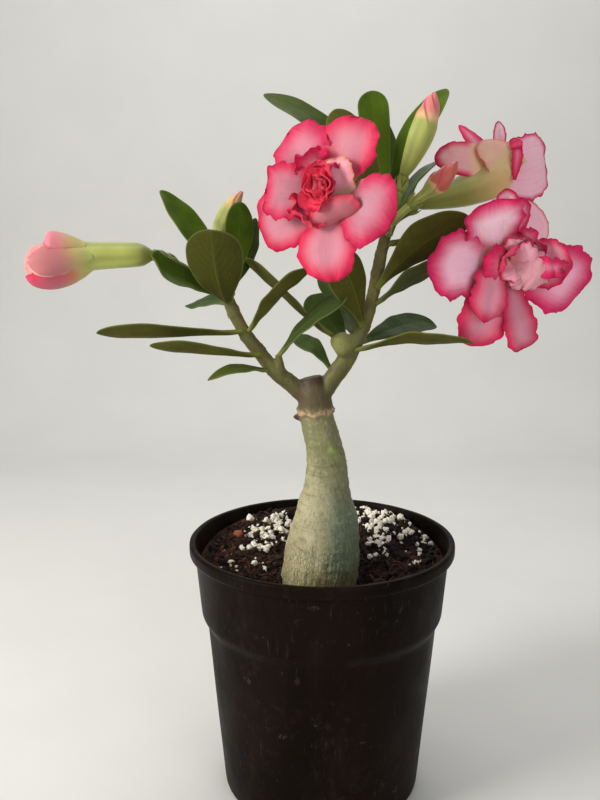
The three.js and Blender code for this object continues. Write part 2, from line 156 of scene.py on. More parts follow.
def smooth(value, low, high):
    # 0 below low, 1 above high, an S-curve between
    t = np.clip((value - low) / (high - low), 0, 1)
    return t * t * (3 - 2 * t)


def bell(away, width, power=2):
    # exp(-(away / width)^power)
    return np.exp(-((away / width) ** power))


def curveThrough(points, steps):
    # Catmull-Rom curve through the points, sampled evenly in the points' own count
    p = np.array(points, float)
    p = np.vstack([2 * p[0] - p[1], p, 2 * p[-1] - p[-2]])
    x = np.linspace(0, len(p) - 3 - 1e-6, steps)
    i, t = x.astype(int), (x % 1)[:, None]
    a, b, c, d = p[i], p[i + 1], p[i + 2], p[i + 3]
    return 0.5 * (2 * b + (c - a) * t + (2 * a - 5 * b + 4 * c - d) * t**2 + (3 * b - a - 3 * c + d) * t**3)


def around(sides):
    return np.linspace(0, fullTurn, sides, endpoint=False)[None]


def ringWays(path, angle):
    # across cos(angle) + other sin(angle), two directions square to a path and carried along it without twisting
    travel = unit(np.gradient(path, axis=0))
    across = np.empty_like(path)
    start = np.array([0.31, -0.87, 0.38])
    for i, way in enumerate(travel):
        start = unit(start - way * (start @ way))
        across[i] = start
    other = np.cross(travel, across)
    return across[:, None] * np.cos(angle)[..., None] + other[:, None] * np.sin(angle)[..., None]


def tubeGrid(path, radii, sides, swell=1.0):
    # a round skin along a path: centre + radius x swell x direction
    return path[:, None] + ringWays(path, around(sides)) * (np.asarray(radii)[:, None] * swell)[..., None]


def gridSkin(points, paint, wrap=True, layers=None):
    # a rows x columns grid as points and faces; wrap joins the last column to the first and closes both ends
    rows, cols = points.shape[:2]
    index = np.arange(rows * cols).reshape(rows, cols)
    after = np.roll(index, -1, 1) if wrap else index[:, 1:]
    here = index if wrap else index[:, :-1]
    quads = np.stack([here[:-1], after[:-1], after[1:], here[1:]], -1).reshape(-1, 4)
    verts = points.reshape(-1, 3)
    values = {name: np.broadcast_to(v, (rows, cols)).reshape(-1) for name, v in (layers or {}).items()}
    tris = np.zeros((0, 3), int)
    if wrap:
        verts = np.vstack([verts, points[0].mean(0), points[-1].mean(0)])
        startFan = np.stack([np.full(cols, rows * cols), after[0], here[0]], -1)
        endFan = np.stack([np.full(cols, rows * cols + 1), here[-1], after[-1]], -1)
        tris = np.vstack([startFan, endFan])
        values = {name: np.append(v, [v[:cols].mean(), v[-cols:].mean()]) for name, v in values.items()}
    return dict(verts=verts, quads=quads, tris=tris, values=values, paint=paint)


def volumeOf(skin):
    faces = np.vstack([skin["tris"], skin["quads"][:, :3], skin["quads"][:, [0, 2, 3]]])
    a, b, c = skin["verts"][faces].transpose(1, 0, 2)
    return (a * np.cross(b, c)).sum() / 6


def addObject(name, data):
    made = bpy.data.objects.new(name, data)
    bpy.context.collection.objects.link(made)
    return made


def finishMesh(mesh, materials, paints, values):
    # materials, smooth faces, and a value at every point for each layer that a material reads
    mesh.materials.clear()
    for material in materials:
        mesh.materials.append(material)
    mesh.polygons.foreach_set("material_index", paints)
    mesh.polygons.foreach_set("use_smooth", [True] * len(mesh.polygons))
    for name, value in values.items():
        mesh.attributes.new(name, "FLOAT", "POINT").data.foreach_set("value", value.astype(np.float32))
    mesh.update()


def settle(piece, slot, *nodes):
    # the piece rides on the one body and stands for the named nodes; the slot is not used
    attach(piece, "root")
    if nodes:
        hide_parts(*nodes)
    return piece


def makePiece(name, skins, slot, *nodes):
    # joins skins into one mesh object, each turned to face outwards
    faces, paints, values, start = [], [], {}, 0
    materials = list(dict.fromkeys(skin["paint"] for skin in skins))
    total = sum(len(skin["verts"]) for skin in skins)
    for skin in skins:
        turn = slice(None, None, -1 if volumeOf(skin) < 0 else 1)
        faces += (skin["quads"][:, turn] + start).tolist() + (skin["tris"][:, turn] + start).tolist()
        paints += [materials.index(skin["paint"])] * (len(skin["quads"]) + len(skin["tris"]))
        for layer, value in skin["values"].items():
            values.setdefault(layer, np.zeros(total))[start : start + len(value)] = value
        start += len(skin["verts"])
    mesh = bpy.data.meshes.new(name)
    mesh.from_pydata((np.vstack([skin["verts"] for skin in skins]) * mm).tolist(), [], faces)
    finishMesh(mesh, materials, paints, values)
    return settle(addObject(name, mesh), slot, *nodes)


def evaluated(piece):
    # the piece's mesh with its modifiers applied
    bpy.context.view_layer.update()
    return bpy.data.meshes.new_from_object(piece.evaluated_get(bpy.context.evaluated_depsgraph_get()))


def srgb(red, green, blue):
    # a screen colour of 0 to 255 as the linear colour that a socket wants
    share = [c / 255 for c in (red, green, blue)]
    return tuple(c / 12.92 if c <= 0.04045 else ((c + 0.055) / 1.055) ** 2.4 for c in share) + (1.0,)


class Value:
    # an output socket that takes + - * / with numbers and other values, each a Math node in the same tree
    def __init__(self, socket):
        self.socket = socket

    def __add__(self, other):
        return calc("ADD", self, other)

    def __sub__(self, other):
        return calc("SUBTRACT", self, other)

    def __rsub__(self, other):
        return calc("SUBTRACT", other, self)

    def __mul__(self, other):
        return calc("MULTIPLY", self, other)

    def __truediv__(self, other):
        return calc("DIVIDE", self, other)


def fill(node, sockets):
    for key, value in sockets.items():
        if isinstance(value, Value):
            node.id_data.links.new(value.socket, node.inputs[key])
        else:
            node.inputs[key].default_value = value


def addNode(tree, kind, sockets, output=0, **settings):
    # a node of a tree, or of the tree that its first linked socket is in
    tree = tree or next(value.socket.id_data for value in sockets.values() if isinstance(value, Value))
    made = tree.nodes.new("ShaderNode" + kind)
    for field, value in settings.items():
        setattr(made, field, value)
    fill(made, sockets)
    return made if output is None else Value(made.outputs[output])


def calc(operation, first, second=0.0, clamp=False):
    return addNode(None, "Math", {0: first, 1: second}, operation=operation, use_clamp=clamp)


def vectorCalc(operation, first, second):
    return addNode(None, "VectorMath", {0: first, 1: second}, operation=operation)


def mix(share, first, second):
    return addNode(None, "Mix", {0: share, 6: first, 7: second}, 2, data_type="RGBA")


def coats(colour, tones, *layers):
    # colours laid over a first one, each a share with a tone's name or a colour
    for share, name in layers:
        colour = mix(share, colour, tones[name] if isinstance(name, str) else name)
    return colour


def ramp(value, low, high, toLow=0.0, toHigh=1.0):
    sockets = {"Value": value, "From Min": low, "From Max": high, "To Min": toLow, "To Max": toHigh}
    return addNode(None, "MapRange", sockets, interpolation_type="SMOOTHSTEP")


def texture(vector, scale, detail=2.0, roughness=0.5, output=0):
    sockets = {"Vector": vector, "Scale": scale, "Detail": detail, "Roughness": roughness}
    return addNode(None, "TexNoise", sockets, output)


def noise(vector, size, detail=3.0, roughness=0.55):
    # size is the width of a blotch in millimetres
    return texture(vector, 1 / (size * mm), detail, roughness)


def trio(first, second, third):
    return addNode(None, "CombineXYZ", {0: first, 1: second, 2: third})


def makeGroup(name, given, build):
    # a node group whose inputs are given by name and default, None for a vector; build makes its outputs
    tree = bpy.data.node_groups.new(name, "ShaderNodeTree")
    for label, value in given.items():
        kind = "NodeSocketVector" if value is None else "NodeSocketFloat"
        made = tree.interface.new_socket(label, in_out="INPUT", socket_type=kind)
        if value is not None:
            made.default_value = value
    source = tree.nodes.new("NodeGroupInput").outputs
    results = build(*[Value(source[label]) for label in given])
    for label in results:
        tree.interface.new_socket(label, in_out="OUTPUT", socket_type="NodeSocketFloat")
    fill(tree.nodes.new("NodeGroupOutput"), results)
    return tree


def useGroup(group, **sockets):
    made = addNode(None, "Group", sockets, None, node_tree=group)
    return {socket.name: Value(socket) for socket in made.outputs}


def mottleNodes(vector, scale, middle, width):
    # blotches: noise stretched to 0 to 1 about Middle
    return {"Mask": ramp(texture(vector, scale, 4.0), middle - width, middle + width)}


def speckNodes(vector, scale, radius, amount):
    # scattered round spots: near a cell's centre, in only the share of cells that Amount says
    cells = addNode(None, "TexVoronoi", {"Vector": vector, "Scale": scale}, None).outputs
    chosen = addNode(None, "SeparateColor", {0: Value(cells["Color"])})
    near = 1.0 - ramp(Value(cells["Distance"]), radius * 0.6, radius)
    return {"Mask": near * calc("LESS_THAN", chosen, amount)}


def rimNodes(edge, width, across, along, ragged, seed):
    # a coloured margin: full at the edge, gone at Width millimetres in, its inner side drawn out by streaks
    streak = texture(trio(across * 9.0, along * 1.6, seed), 1.7, 3.0, 0.6)
    inward = edge / width + (streak - 0.5) * ragged * 2.0
    return {"Mask": 1.0 - ramp(inward, 0.05, 1.1), "Streak": streak}


def veinNodes(across, along, count, slope, rib):
    # a midrib line and side veins that leave it at a slant, as two masks
    apart = calc("ABSOLUTE", across)
    wave = calc("SINE", (along - apart * slope) * count * fullTurn)
    return {"Midrib": 1.0 - ramp(apart, 0.0, rib), "Side": ramp(wave, 0.55, 1.0) * ramp(apart, 1.0, 0.55)}


mottle = makeGroup("mottle", {"Vector": None, "Scale": 100.0, "Middle": 0.5, "Width": 0.15}, mottleNodes)
specks = makeGroup("specks", {"Vector": None, "Scale": 500.0, "Radius": 0.25, "Amount": 0.2}, speckNodes)
rim = makeGroup("rim", {"Edge": 5.0, "Width": 4.0, "Across": 0.0, "Along": 0.0, "Ragged": 0.5, "Seed": 0.0}, rimNodes)
veins = makeGroup("veins", {"Across": 0.0, "Along": 0.0, "Count": 11.0, "Slope": 0.35, "Rib": 0.07}, veinNodes)


def blotches(vector, scale, middle=0.5, width=0.2):
    return useGroup(mottle, Vector=vector, Scale=scale, Middle=middle, Width=width)["Mask"]


def spots(vector, scale, radius, amount):
    return useGroup(specks, Vector=vector, Scale=scale, Radius=radius, Amount=amount)["Mask"]


class Paint:
    # a material with a Principled shader and its fixed numbers
    def __init__(self, name, **fixed):
        self.material = bpy.data.materials.new(name)
        self.material.use_nodes = True
        self.tree = self.material.node_tree
        self.tree.nodes.clear()
        fixed = {socket.replace("_", " "): value for socket, value in fixed.items()}
        self.shader = addNode(self.tree, "BsdfPrincipled", fixed, None)
        addNode(self.tree, "OutputMaterial", {0: Value(self.shader.outputs[0])}, None)

    def place(self, scale=(1, 1, 1), turn=(0, 0, 0)):
        spot = addNode(self.tree, "TexCoord", {}, "Object")
        return addNode(self.tree, "Mapping", {"Vector": spot, "Scale": scale, "Rotation": turn})

    def layer(self, name):
        return addNode(self.tree, "Attribute", {}, "Fac", attribute_name=name)

    def grain(self, size=0.5):
        # fine cell-like grain of living plant skin
        return noise(self.place(), size, 2.0, 0.6)

    def finish(self, colour, height=None, depth=0.0, rough=None):
        links = {"Base Color": colour}
        if height:
            links["Normal"] = addNode(self.tree, "Bump", {"Height": height, "Distance": depth * mm, "Strength": 1.0})
        if rough:
            links["Roughness"] = rough
        fill(self.shader, links)
        return self.material


camera = dict(distance=400.0, aboveRim=141.7, turn=1.555, dip=10.38, lens=38.12)
light = dict(
    room=0.38, roomColour=(0.96, 0.98, 1.0),
    key=dict(place=(-720, -370, 500), aim=(0, 0, 190), size=400, power=7.6, colour=(1.0, 0.97, 0.91)),
    fill=dict(place=(350, -700, 350), aim=(20, 0, 230), size=500, power=1.7, colour=(0.96, 0.97, 1.0)),
    back=dict(place=(60, 480, 700), aim=(0, 0, 190), size=420, power=0.9, colour=(1.0, 0.99, 0.97)),
    wall=dict(place=(0, 250, 1100), aim=(0, 900, 350), size=700, power=3.5, colour=(1.0, 1.0, 0.99)),
)
stageShape = dict(wall=900.0, bend=260.0, front=-1600, top=1900, half=2200, tone=srgb(216, 215, 211))


def setCamera():
    potLow, potHigh = boxOf("pot")
    axis = (potLow + potHigh) / 2
    lens = bpy.data.cameras.new("camera")
    lens.lens, lens.sensor_width = camera["lens"], 36.0
    lens.clip_start, lens.clip_end = 0.01, 20
    seer = addObject("camera", lens)
    seer.location = [c * mm for c in (axis[0], axis[1] - camera["distance"], potHigh[2] + camera["aboveRim"])]
    seer.rotation_euler = (math.radians(90 - camera["dip"]), 0, math.radians(camera["turn"]))
    bpy.context.scene.camera = seer


def setLights():
    room = bpy.data.worlds.new("room")
    room.use_nodes = True
    sky = room.node_tree.nodes["Background"].inputs
    sky[0].default_value, sky[1].default_value = (*light["roomColour"], 1), light["room"]
    bpy.context.scene.world = room
    for name in ("key", "fill", "back", "wall"):
        what = light[name]
        lamp = bpy.data.lights.new(name, "AREA")
        lamp.shape, lamp.size, lamp.energy, lamp.color = "DISK", what["size"] * mm, what["power"], what["colour"]
        spot = np.array(what["place"], float)
        away = unit(spot - np.array(what["aim"], float))
        side = unit(np.cross([0, 0, 1.0], away))
        turn = np.stack([side, np.cross(away, side), away], 1)
        addObject(name, lamp).matrix_world = Matrix.Translation(spot * mm) @ Matrix(turn.tolist()).to_4x4()


def makeStage():
    # a floor that sweeps up into a wall: profile y, z carried along x
    s = stageShape
    arc = np.linspace(0, math.pi / 2, 14)
    bend = [(s["wall"] - s["bend"] + s["bend"] * math.sin(a), s["bend"] - s["bend"] * math.cos(a)) for a in arc]
    line = np.array([(s["front"], 0), (0, 0)] + bend + [(s["wall"], s["top"])])
    across = np.linspace(-s["half"], s["half"], 9)
    grid = np.empty((len(line), len(across), 3))
    grid[..., 0], grid[..., 1], grid[..., 2] = across[None], line[:, :1], line[:, 1:] - 0.05
    paint = Paint("stagePaint", Roughness=0.85, Specular_IOR_Level=0.2)
    shade = tuple(c * 0.97 for c in s["tone"][:3]) + (1,)
    material = paint.finish(mix(ramp(noise(paint.place(), 90, 4.0), 0.3, 0.7), s["tone"], shade))
    skin = gridSkin(grid, material, wrap=False)
    mesh = bpy.data.meshes.new("stage")
    mesh.from_pydata((skin["verts"] * mm).tolist(), [], skin["quads"].tolist())
    finishMesh(mesh, [material], [0] * len(mesh.polygons), {})
    addObject("stage", mesh)


setCamera()
setLights()
makeStage()
bpy.context.scene.view_settings.view_transform = "Standard"
print("camera, lights and stage set")


potShape = dict(
    segments=192, wall=1.3, lipDepth=6.0, lipOut=65.0, mouth=62.1, collarTop=62.2, collarFoot=(59.5, 92.0),
    bodyTop=(56.8, 87.0), foot=49.2, floor=3.2, channel=(20.0, 43.0, 1.5), drainHoles=6, drainRadius=4.5,
    drainRing=32.0, wobble=0.18, colour=srgb(14, 9, 6), dust=srgb(112, 100, 86), brown=srgb(32, 20, 13))


def roundedProfile(corners, steps=4):
    # each corner (radius, height, rounding) becomes a short quadratic curve between points on its two sides
    corners = np.array(corners, float)
    line = [corners[0, :2]]
    for before, at, after in zip(corners[:-2], corners[1:-1], corners[2:]):
        back, ahead = before[:2] - at[:2], after[:2] - at[:2]
        reach = min(at[2], 0.45 * np.linalg.norm(back), 0.45 * np.linalg.norm(ahead))
        a, b = at[:2] + unit(back) * reach, at[:2] + unit(ahead) * reach
        line += [(1 - t) ** 2 * a + 2 * t * (1 - t) * at[:2] + t * t * b for t in np.linspace(0, 1, steps)]
    return np.array(line + [corners[-1, :2]])


def splitLong(line, longest):
    # adds points so that no step of a profile is longer than given
    parts = []
    for a, b in zip(line[:-1], line[1:]):
        count = max(1, int(np.ceil(np.linalg.norm(b - a) / longest)))
        parts.append(a + (b - a) * (np.arange(count) / count)[:, None])
    return np.vstack(parts + [line[-1:]])


def lathe(line, segments):
    # profile of radius and height turned about the upright axis
    angle, radius, height = around(segments), line[:, :1], line[:, 1:]
    return np.stack([radius * np.cos(angle), radius * np.sin(angle), height + 0 * angle], -1)


def makePot():
    p = potShape
    low, high = boxOf("pot")
    top, grow = high[2], (high[0] - low[0]) / 2 / p["lipOut"]
    (bodyR, bodyZ), (collarR, collarZ), wall = p["bodyTop"], p["collarFoot"], p["wall"]
    inner, outer, rise = p["channel"]
    foot, floor, lip, under = p["foot"], p["floor"], p["lipOut"], top - p["lipDepth"]
    corners = [
        (0.5, 0, 0), (inner, 0, 0.5), (inner + 1.5, rise, 0.5), (outer, rise, 0.5), (outer + 1.5, 0, 0.5),
        (foot - 2.2, 0, 0.4), (foot - 0.2, 1.2, 1.6), (foot + 0.2, 4, 2), (bodyR, bodyZ, 1.2), (collarR, collarZ, 1.5),
        (p["collarTop"], under, 0.4), (lip - 0.6, under + 0.2, 0.5), (lip, under + 1.4, 0.9), (lip, top, 1.4),
        (p["mouth"], top, 1.0), (p["collarTop"] - wall, under, 3), (collarR - wall, collarZ, 3),
        (bodyR - wall, bodyZ, 3), (foot - wall - 0.2, floor + 2, 2), (foot - wall - 2.4, floor, 1.2), (0.5, floor, 0),
    ]
    grid = lathe(splitLong(roundedProfile(corners), 3.0), p["segments"]) * [grow, grow, 1]
    turn = unit(grid * [1, 1, 0])
    upper = smooth(grid[..., 2:], 10, 60)
    grid = grid + turn * softNoise(grid * [1, 1, 0.6], 55, 3, 2)[..., None] * p["wobble"] * upper
    plastic = potPlastic()
    body = makePiece("pot_body", [gridSkin(grid, plastic)], "pot", "pot")
    rod = lathe(np.array([(p["drainRadius"], -4.0), (p["drainRadius"], 9.0)]), 40)
    spins = [fullTurn * (k + 0.5) / p["drainHoles"] for k in range(p["drainHoles"])]
    holes = [rod + [p["drainRing"] * math.cos(spin), p["drainRing"] * math.sin(spin), 0] for spin in spins]
    cutter = makePiece("drainCutter", [gridSkin(hole, plastic) for hole in holes], "pot")
    cut = body.modifiers.new("drain", "BOOLEAN")
    cut.operation, cut.solver, cut.object = "DIFFERENCE", "EXACT", cutter
    finished = evaluated(body)
    body.modifiers.clear()
    body.data = finished
    bpy.data.objects.remove(cutter)


def potPlastic():
    # moulded black plastic with a brown cast: water marks, fine pale scratches, dust in specks and bands
    paint = Paint("blackPotPlastic", Specular_IOR_Level=0.035)
    spot = paint.place()
    colour = mix(blotches(paint.place((1, 1, 0.5)), 28.0, 0.52) * 0.5, potShape["colour"], potShape["brown"])
    upright = ramp(texture(paint.place((700, 700, 40)), 1.0), 0.64, 0.76)
    slanted = ramp(texture(paint.place((900, 60, 120), (0, 0.7, 0.4)), 1.0), 0.66, 0.78)
    patches = noise(spot, 26)
    marks = calc("MAXIMUM", upright, slanted) * ramp(patches, 0.45, 0.68)
    shove = vectorCalc("MULTIPLY", texture(spot, 260.0, 3.0, output=1), (0.006, 0.006, 0.006))
    bent = vectorCalc("ADD", spot, shove)
    smudges = spots(bent, 130.0, 0.3, 0.14) * ramp(noise(spot, 1.2, 4.0, 0.7), 0.42, 0.62)
    belt = ramp(noise(paint.place((1, 1, 0.8)), 30), 0.42, 0.58) * ramp(noise(spot, 3.5, 4.0, 0.7), 0.52, 0.7)
    film = ramp(noise(paint.place((1, 1, 0.3)), 14, 5.0, 0.65), 0.5, 0.75) * 0.035
    dusty = marks * 0.16 + spots(bent, 420.0, 0.2, 0.05) * 0.22 + smudges * 0.2 + belt * 0.05
    dusty = calc("ADD", dusty, film, clamp=True)
    rough = calc("ADD", ramp(patches, 0.3, 0.7, 0.36, 0.5), dusty * 0.5, clamp=True)
    height = noise(spot, 0.8, 2.0) + marks * 1.2 + noise(spot, 9, 2.0) * 2.5
    return paint.finish(mix(dusty, colour, potShape["dust"]), height, 0.09, rough)


makePot()
print("pot made")


soilShape = dict(
    climb=0.12, level=58.6, dip=10.0, dipWidth=30.0, foot=(-2.0, -12.0), rough=(1.5, 0.9), heap=(38, 38, 16, 2.5),
    crumbs=5200, fibres=170, chips=90, grainSize=(0.55, 1.75), edgeGap=0.4, cavityGap=0.9, stemHeight=107.0,
    hollow=(98, 92, 86, 80, 74, 69), brick=dict(turn=152, reach=50, size=(3.4, 2.7, 1.5)), farthest=57.8, spread=56,
    crumbSpread=58, wall=[(44.6, 3.6), (46.8, 6.0), (54.8, 86.0), (57.6, 93.0), (58.8, 106.0)])
# where the white grains lie: distance from the pot's axis, angle from the right, scatter, how many
perliteBeds = [
    (40, 120, 8, 46), (40, 140, 8, 44), (35, 155, 6, 20), (50, 135, 5, 5), (45, 190, 8, 7), (30, 180, 5, 5),
    (45, 55, 7, 44), (55, 65, 5, 14), (55, 45, 6, 26), (35, 35, 6, 26), (50, 30, 6, 14), (55, 15, 5, 9),
    (30, 15, 5, 14), (45, 0, 8, 6), (45, 90, 9, 10), (40, -45, 10, 6), (45, -120, 12, 5),
]
soilTones = dict(black=srgb(20, 14, 11), brown=srgb(58, 36, 25), red=srgb(96, 56, 38), perlite=srgb(244, 238, 224),
                 perliteShade=srgb(206, 192, 164), brick=srgb(168, 92, 62), fibre=srgb(104, 64, 42))


def edgeAt(height):
    # how far the soil reaches at a height: up to the pot's inner wall
    p = potShape
    heights, radii = [p["collarFoot"][1], 122.0, 128.0], [p["collarFoot"][0], p["collarTop"], p["mouth"] + p["wall"]]
    return np.interp(height, heights, radii) - p["wall"] - soilShape["edgeGap"]


def soilTop(x, y):
    # height = level + climb y - dip exp(-(distance from the stem's foot / width)^2) + lumps, which fade at the wall
    s = soilShape
    away = np.hypot(x - s["foot"][0], y - s["foot"][1])
    height = boxOf("soil")[1][2] - s["climb"] * s["level"] + s["climb"] * y - s["dip"] * bell(away, s["dipWidth"])
    flat = np.stack([x, y, 0 * x], -1)
    lumps = softNoise(flat, 16, 11, 2) * s["rough"][0] + softNoise(flat, 4.5, 12, 3) * s["rough"][1]
    heapX, heapY, width, rise = s["heap"]
    heap = rise * bell(np.hypot(x - heapX, y - heapY), width)
    return height + (lumps + heap) * smooth(62 - np.hypot(x, y), 0, 7)


def stemPlace(height):
    # the stem's centre and radius at a height
    trunk = caudexStems["trunk"]
    path = curveThrough(trunk["path"], 90)
    radii = curveThrough(np.array(trunk["radii"])[:, None], 90)[:, 0]
    return [np.interp(height, path[:, 2], value) for value in (path[:, 0], path[:, 1], radii)]


def makeSoil():
    # side follows the pot's wall; the top runs from the wall's circle to the stem's; below it lies the root's hollow
    s, segments = soilShape, 200
    side = lathe(splitLong(np.array([(0.5, s["wall"][0][1])] + s["wall"]), 4.0), segments)
    angle = around(segments)
    way = np.stack([np.cos(angle), np.sin(angle)], -1)
    cx, cy, rootRadius = stemPlace(s["stemHeight"])
    share = np.linspace(1, 0, 84)[:, None, None]
    wall = way * edgeAt(soilTop(s["level"] * way[..., 0], s["level"] * way[..., 1]))[..., None]
    flat = wall * share + (np.array([cx, cy]) + way * (rootRadius - s["cavityGap"])) * (1 - share)
    top = np.concatenate([flat, soilTop(flat[..., 0], flat[..., 1])[..., None]], -1)
    depth = np.array(s["hollow"], float)[:, None]
    x, y, radius = stemPlace(depth)
    hollow = np.maximum(radius - s["cavityGap"], 0.6)
    under = np.stack([x + hollow * np.cos(angle), y + hollow * np.sin(angle), depth + 0 * angle], -1)
    makePiece("soil_bed", [gridSkin(np.concatenate([side, top, under]), soilPaint())], "soil", "soil")


def scattered(solid, places, turns, sizes, paint, tones):
    # copies of one small closed shape: every point is size x shape, turned, moved to its place
    shape, faces = solid
    points = np.einsum("nij,npj->npi", turns, shape[None] * sizes[:, None]) + places[:, None]
    tris = (faces[None] + (np.arange(len(places)) * len(shape))[:, None, None]).reshape(-1, 3)
    return dict(verts=points.reshape(-1, 3), quads=np.zeros((0, 4), int), tris=tris, paint=paint,
                values=dict(tone=np.repeat(tones, len(shape))))


def ball(levels, size, jag, *seeds):
    # an icosahedron, each face split in four per level, its points on a unit ball that jag makes uneven
    g = (1 + 5**0.5) / 2
    points = np.array([(-1, g, 0), (1, g, 0), (-1, -g, 0), (1, -g, 0), (0, -1, g), (0, 1, g), (0, -1, -g), (0, 1, -g),
                       (g, 0, -1), (g, 0, 1), (-g, 0, -1), (-g, 0, 1)], float)
    faces = np.array([(0, 11, 5), (0, 5, 1), (0, 1, 7), (0, 7, 10), (0, 10, 11), (1, 5, 9), (5, 11, 4), (11, 10, 2),
                      (10, 7, 6), (7, 1, 8), (3, 9, 4), (3, 4, 2), (3, 2, 6), (3, 6, 8), (3, 8, 9), (4, 9, 5),
                      (2, 4, 11), (6, 2, 10), (8, 6, 7), (9, 8, 1)])
    for _ in range(levels):
        a, b, c = points[faces[:, 0]], points[faces[:, 1]], points[faces[:, 2]]
        corners = np.stack([a, b, c, (a + b) / 2, (b + c) / 2, (c + a) / 2], 1).reshape(-1, 3)
        base = (np.arange(len(faces)) * 6)[:, None, None]
        faces = (base + np.array([(0, 3, 5), (3, 1, 4), (5, 4, 2), (3, 4, 5)])[None]).reshape(-1, 3)
        points, index = np.unique(corners.round(6), axis=0, return_inverse=True)
        faces = index.reshape(-1)[faces]
    points = unit(points)
    return points * (1 + jag * softNoise(points * size, *seeds))[:, None], faces


def randomTurns(dice, count):
    # random rotations from random quaternions
    w, x, y, z = unit(dice.normal(size=(count, 4))).T
    rows = [1 - 2 * (y * y + z * z), 2 * (x * y - z * w), 2 * (x * z + y * w), 2 * (x * y + z * w),
            1 - 2 * (x * x + z * z), 2 * (y * z - x * w), 2 * (x * z - y * w), 2 * (y * z + x * w),
            1 - 2 * (x * x + y * y)]
    return np.stack(rows, 1).reshape(count, 3, 3)


def polar(degrees, reach):
    return reach * np.cos(np.radians(degrees)), reach * np.sin(np.radians(degrees))


def keepOnSoil(x, y):
    # moves points that lie outside the wall or inside the stem to just off them
    inward = np.minimum(1, soilShape["farthest"] / np.hypot(x, y))
    x, y = x * inward, y * inward
    cx, cy, radius = stemPlace(soilShape["stemHeight"] + 1)
    outward = np.maximum(1, (radius + 1.0) / np.maximum(np.hypot(x - cx, y - cy), 0.1))
    return cx + (x - cx) * outward, cy + (y - cy) * outward


def onSoil(x, y, rise):
    return np.stack([x, y, soilTop(x, y) + rise], 1)


def makeGrains():
    dice, s = np.random.default_rng(21), soilShape
    count = s["crumbs"]
    x, y = keepOnSoil(*polar(dice.uniform(0, 360, count), s["crumbSpread"] * np.sqrt(dice.uniform(0.02, 1, count))))
    size = dice.gamma(1.9, 0.34, count).clip(0.2, 2.3)[:, None] * dice.uniform(0.55, 1.35, (count, 3))
    crumbs = scattered(ball(0, 9, 0.38, 7, 5, 1), onSoil(x, y, size.min(1) * 0.35), randomTurns(dice, count), size,
                       crumbPaint(), dice.uniform(0, 1, count))

    places, sizes = [], []
    for reach, turn, spread, count in perliteBeds:
        count = int(count * 1.35)
        x, y = polar(turn, reach)
        x, y = keepOnSoil(x + dice.normal(0, spread * 0.6, count), y + dice.normal(0, spread * 0.6, count))
        size = dice.uniform(*s["grainSize"], count) * np.where(dice.uniform(size=count) < 0.3, 0.6, 1.0)
        places.append(onSoil(x, y, size * dice.uniform(0.3, 1.1, count)))
        sizes.append(size)
    sizes = np.concatenate(sizes)
    shape = sizes[:, None] * dice.uniform(0.6, 1.2, (len(sizes), 3))
    grains = scattered(ball(1, 6, 0.5, 4.5, 8, 2), np.vstack(places), randomTurns(dice, len(sizes)), shape,
                       perlitePaint(), dice.uniform(0, 1, len(sizes)))

    # chips of bark lie nearly flat; the first is the one piece of brick
    count = s["chips"]
    bearing, out = dice.uniform(0, 360, count), np.sqrt(dice.uniform(0.05, 1, count)) * s["spread"]
    bearing[0], out[0] = s["brick"]["turn"], s["brick"]["reach"]
    x, y = keepOnSoil(*polar(bearing, out))
    size = np.stack([dice.uniform(1.4, 3.4, count), dice.uniform(1.0, 2.2, count), dice.uniform(0.4, 0.9, count)], 1)
    size[0] = s["brick"]["size"]
    places = onSoil(x, y, 0.7)
    places[0, 2] += 0.9
    turns = np.linalg.qr(randomTurns(dice, count) * [[1, 1, 0.3], [1, 1, 0.3], [0.3, 0.3, 1]])[0]
    tones = dice.uniform(0.1, 0.6, count)
    tones[0] = 1.0
    chips = scattered(ball(0, 9, 0.2, 8, 15, 1), places, turns, size, chipPaint(), tones)

    threads = []
    for _ in range(s["fibres"]):
        x, y = polar(dice.uniform(0, 360), math.sqrt(dice.uniform(0.08, 1)) * s["spread"])
        heading, length = dice.uniform(0, fullTurn), dice.uniform(5, 15)
        t, bend = np.linspace(-0.5, 0.5, 9), dice.normal(0, 0.9)
        x, y = keepOnSoil(x + length * (t * math.cos(heading) - bend * t * t * math.sin(heading)),
                          y + length * (t * math.sin(heading) + bend * t * t * math.cos(heading)))
        path = np.stack([x, y, soilTop(x, y) + 0.5 + 1.3 * dice.uniform() * np.cos(3 * t)], 1)
        radii = dice.uniform(0.13, 0.3) * (1.05 - 1.6 * t * t)
        threads.append(gridSkin(tubeGrid(path, radii, 5), chips["paint"], layers=dict(tone=dice.uniform(0.2, 0.8))))
    makePiece("soil_crumbs", [crumbs, chips] + threads, "soil", "soil")
    makePiece("perlite_grains", [grains], "soil", "soil")


def soilPaint():
    paint, tone = Paint("pottingMix", Roughness=0.95, Specular_IOR_Level=0.25), soilTones
    spot = paint.place()
    bits = spots(spot, 480.0, 0.42, 0.22)
    colour = mix(bits * 0.7, mix(blotches(spot, 60.0, 0.5, 0.12), tone["black"], tone["brown"]), tone["red"])
    return paint.finish(colour, noise(spot, 1.6, 5.0, 0.7) + bits * 0.3, 1.2)


def crumbPaint():
    # black crumbs, some brown or red, browner towards the left and darker towards the right
    paint, tone = Paint("soilCrumbs", Roughness=0.93, Specular_IOR_Level=0.25), soilTones
    across = addNode(None, "SeparateXYZ", {0: paint.place()})
    kind = paint.layer("tone") + ramp(across, 0.02, -0.04, -0.22, 0.12)
    colour = mix(ramp(kind, 0.45, 0.8), tone["black"], tone["brown"])
    colour = mix(ramp(kind, 0.85, 1.05), colour, tone["red"])
    fine = noise(paint.place(), 0.7, 4.0, 0.7)
    return paint.finish(mix(fine * 0.5, colour, tone["black"]), fine, 0.4)


